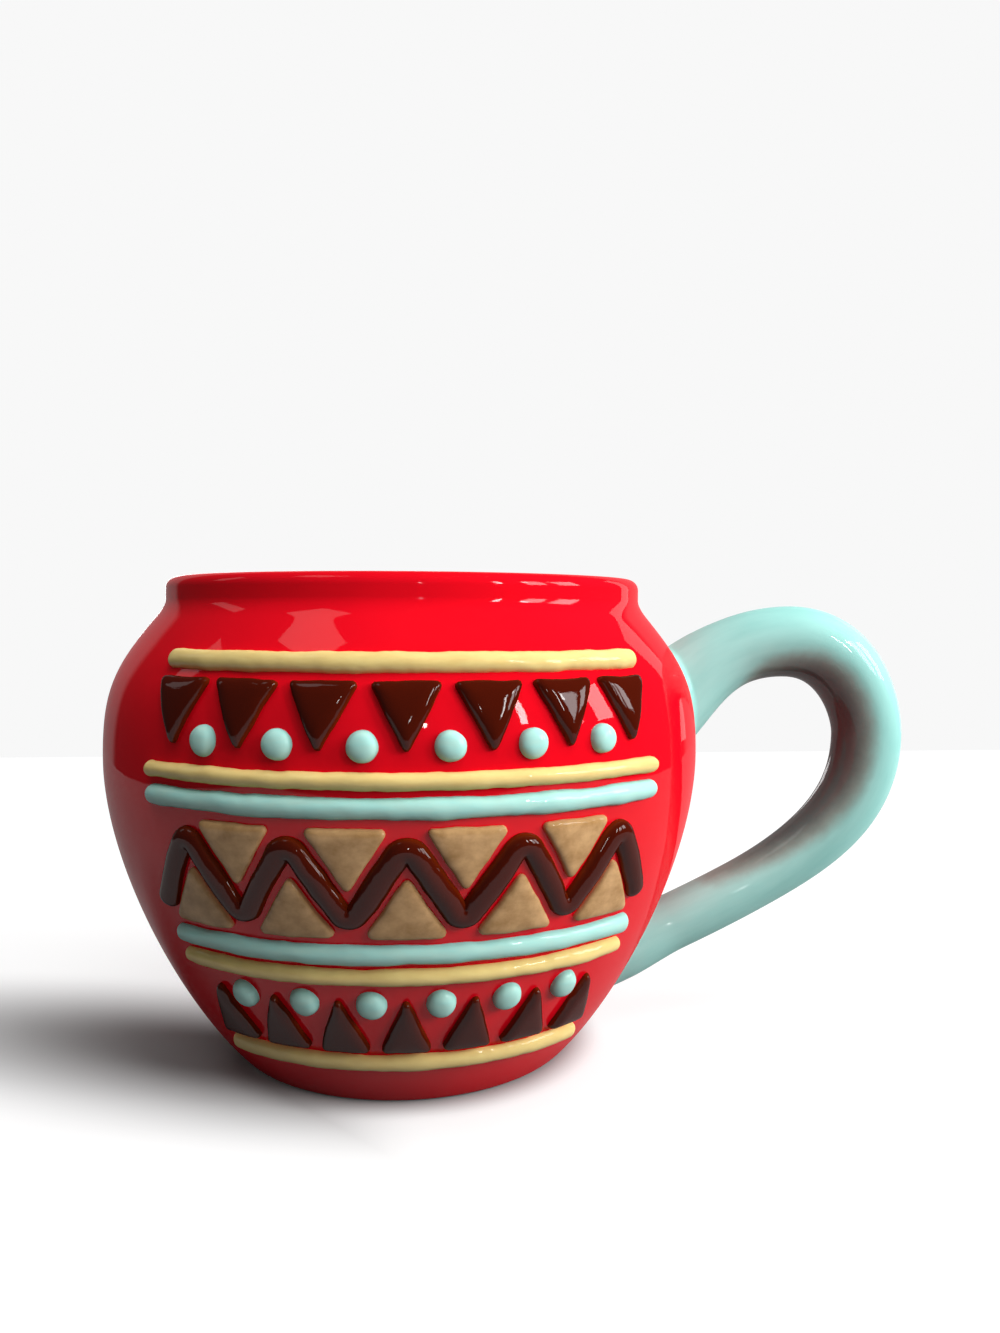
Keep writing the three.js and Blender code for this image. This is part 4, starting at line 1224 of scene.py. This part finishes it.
class MUG_OT_stage(MugOperator, bpy.types.Operator):
    """Sets the white table, the pale surroundings, the lamps and the camera"""

    bl_idname = "mug.stage"
    bl_label = "Stage"

    def seen(self, tree):
        """One for rays that show a surface itself, none for those that carry its light onwards."""
        path = put(tree, "ShaderNodeLightPath").outputs
        direct = put(tree, "ShaderNodeMath", {
            0: path["Is Camera Ray"], 1: path["Is Glossy Ray"]}, operation="MAXIMUM")
        return put(tree, "ShaderNodeMath", {
            0: direct, 1: path["Is Transmission Ray"]}, operation="MAXIMUM")

    def white_table(self, stage):
        """Matt board with painted light: a white glow where it is seen past a painted oval of the mug's
        shadow, dull as a light on the mug.
        """
        made, tree, where = new_material("white_table")
        seen = self.seen(tree)
        shade = put(tree, "ShaderNodeMix", {
            "Factor": seen, "A": stage.table_bounce, "B": stage.table}, data_type="RGBA")

        # Painted light: a white glow is added past an oval of painted shadow beside the mug and on its lit
        # side, but not at its foot
        shadow = put(tree, "ShaderNodeMapping", {
            "Vector": where["Object"],
            "Location": AXIS - Vector((stage.shadow_shift, stage.shadow_ahead, 0)),
            "Rotation": (0, 0, stage.shadow_turn),
            "Scale": (1 / stage.shadow_stretch, 1, 1)}, vector_type="TEXTURE")
        past = put(tree, "ShaderNodeVectorMath", {0: shadow}, operation="LENGTH")
        outside_painted_shadow = put(tree, "ShaderNodeMapRange", {
            "Value": past, "From Min": stage.glow_start, "From Max": stage.glow_end},
            interpolation_type="SMOOTHSTEP")
        across = put(tree, "ShaderNodeSeparateXYZ", {"Vector": where["Object"]}).outputs["X"]
        lit_side = put(tree, "ShaderNodeMapRange", {
            "Value": across, "From Min": AXIS.x - stage.dark_side, "From Max": AXIS.x + stage.lit_side},
            interpolation_type="SMOOTHSTEP")
        clear = put(tree, "ShaderNodeMath", {0: outside_painted_shadow, 1: lit_side}, operation="MAXIMUM")
        outwards = put(tree, "ShaderNodeVectorMath", {0: where["Object"], 1: AXIS}, operation="DISTANCE")
        off_foot = put(tree, "ShaderNodeMapRange", {
            "Value": outwards, "From Min": stage.contact_start, "From Max": stage.contact_end,
            "To Max": stage.glow}, interpolation_type="SMOOTHSTEP")
        glow = put(tree, "ShaderNodeMath", {0: clear, 1: off_foot}, operation="MULTIPLY")
        painted_glow_seen = put(tree, "ShaderNodeMath", {0: glow, 1: seen}, operation="MULTIPLY")
        matt = put(tree, "ShaderNodeBsdfPrincipled", {
            "Base Color": shade, "Roughness": 0.9, "Specular IOR Level": 0.0,
            "Emission Color": WHITE, "Emission Strength": painted_glow_seen})

        # Plain white in the distance
        far = put(tree, "ShaderNodeMapRange", {
            "Value": past, "From Min": stage.fade_start, "From Max": stage.fade_end})
        far_seen = put(tree, "ShaderNodeMath", {0: far, 1: seen}, operation="MULTIPLY")
        plain = put(tree, "ShaderNodeEmission", {"Color": WHITE, "Strength": 1.0})
        faded = put(tree, "ShaderNodeMixShader", {0: far_seen, 1: matt, 2: plain})
        put(tree, "ShaderNodeOutputMaterial", {"Surface": faded})
        return made

    def table(self, stage):
        wide = stage.table_half_width
        sides = [(-wide, -stage.table_front), (wide, -stage.table_front),
                 (wide, stage.table_back), (-wide, stage.table_back)]
        mesh = bpy.data.meshes.new("table")
        mesh.from_pydata([(x, y, -stage.table_drop) for x, y in sides], [], [(0, 1, 2, 3)])
        mesh.materials.append(self.white_table(stage))
        new_object("table", mesh)

    def direction(self, bearing, climb):
        """A direction at a bearing from the front towards the handle, and a climb."""
        level = math.cos(climb)
        return Vector((level * math.sin(bearing), -level * math.cos(bearing), math.sin(climb)))

    def surroundings(self, context, stage):
        """A room lit from its window wall, with a pale sweep for the camera and behind the mug."""
        world = bpy.data.worlds.new("room")
        world.use_nodes = True
        tree = world.node_tree
        way = put(tree, "ShaderNodeTexCoord").outputs["Generated"]
        window = self.direction(stage.window_bearing, stage.window_climb)
        facing = put(tree, "ShaderNodeVectorMath", {0: way, 1: window}, operation="DOT_PRODUCT")
        light = put(tree, "ShaderNodeMapRange", {
            "Value": facing, "From Min": stage.light_end,
            "To Min": stage.room_light, "To Max": stage.window_light}, interpolation_type="SMOOTHSTEP")
        backwards = put(tree, "ShaderNodeSeparateXYZ", {"Vector": way}).outputs["Y"]
        behind = put(tree, "ShaderNodeMapRange", {
            "Value": backwards, "From Min": stage.backdrop_start, "From Max": stage.backdrop_end},
            interpolation_type="SMOOTHSTEP")
        by_camera = put(tree, "ShaderNodeLightPath").outputs["Is Camera Ray"]
        sweep = put(tree, "ShaderNodeMath", {0: behind, 1: by_camera}, operation="MAXIMUM")
        shown = put(tree, "ShaderNodeMix", {
            "Factor": sweep, "A": stage.side_wall, "B": stage.backdrop}, data_type="RGBA")
        tone = put(tree, "ShaderNodeMix", {
            "Factor": self.seen(tree), "A": light, "B": shown}, data_type="RGBA")
        tree.links.new(tone.outputs["Result"], tree.nodes["Background"].inputs["Color"])
        context.scene.world = world

    def hang(self, context, lamp):
        """Hangs a lamp so that it faces the middle of the pot."""
        target = Vector((AXIS.x, AXIS.y, pot_high.z / 2))
        away = lamp.distance * self.direction(math.radians(lamp.bearing), math.radians(lamp.climb))
        data = bpy.data.lights.new(lamp.name, "AREA")
        data.shape = "RECTANGLE"
        data.size = lamp.width
        data.size_y = lamp.height
        data.energy = lamp.power
        hung = bpy.data.objects.new(lamp.name, data)
        hung.location = target + away
        hung.rotation_euler = (-away).to_track_quat("-Z", "Y").to_euler()
        hung.visible_camera = False
        hung.visible_glossy = lamp.mirrored
        context.scene.collection.objects.link(hung)

    def camera(self, context, stage):
        data = bpy.data.cameras.new("photo_camera")
        data.sensor_width = SENSOR_MM
        data.lens = stage.focal_px / PHOTO_HEIGHT_PX * SENSOR_MM
        data.clip_start = NEAREST_SEEN
        camera = bpy.data.objects.new("photo_camera", data)
        context.scene.collection.objects.link(camera)
        camera.location = AXIS + Vector((0, -stage.camera_distance, stage.camera_height))
        camera.rotation_euler = (math.pi / 2 - stage.camera_pitch, stage.camera_roll, -stage.camera_yaw)
        context.scene.camera = camera

    def execute(self, context):
        stage = context.scene.mug.stage
        self.table(stage)
        self.surroundings(context, stage)
        for lamp in LAMPS:
            self.hang(context, lamp)
        self.camera(context, stage)
        context.scene.view_settings.view_transform = "Standard"
        return {"FINISHED"}


class MUG_PT_sidebar(bpy.types.Panel):
    """Lists what the mug is built from"""

    bl_idname = "MUG_PT_sidebar"
    bl_label = "Frieze Mug"
    bl_space_type = "VIEW_3D"
    bl_region_type = "UI"
    bl_category = "Mug"

    def draw(self, context):
        for operator in OPERATORS:
            self.layout.operator(operator.bl_idname)
        for group in MugSettings.__annotations__:
            settings = getattr(context.scene.mug, group)
            box = self.layout.box()
            for name in settings.__annotations__:
                box.prop(settings, name)


OPERATORS = (
    MUG_OT_pot, MUG_OT_handle, MUG_OT_lines, MUG_OT_teeth, MUG_OT_dots, MUG_OT_zigzag, MUG_OT_stage)
CLASSES = (
    PotSettings, HandleSettings, FriezeSettings, ColourSettings, StageSettings, MugSettings,
    *OPERATORS, MUG_PT_sidebar)


def register():
    for cls in CLASSES:
        bpy.utils.register_class(cls)
    bpy.types.Scene.mug = bpy.props.PointerProperty(type=MugSettings)


def unregister():
    del bpy.types.Scene.mug
    for cls in reversed(CLASSES):
        bpy.utils.unregister_class(cls)


def main():
    register()
    bpy.ops.mug.stage()
    bpy.ops.mug.pot()
    bpy.ops.mug.handle()
    bpy.ops.mug.lines()
    bpy.ops.mug.teeth()
    bpy.ops.mug.dots()
    bpy.ops.mug.zigzag()
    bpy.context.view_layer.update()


if __name__ == "__main__":
    main()
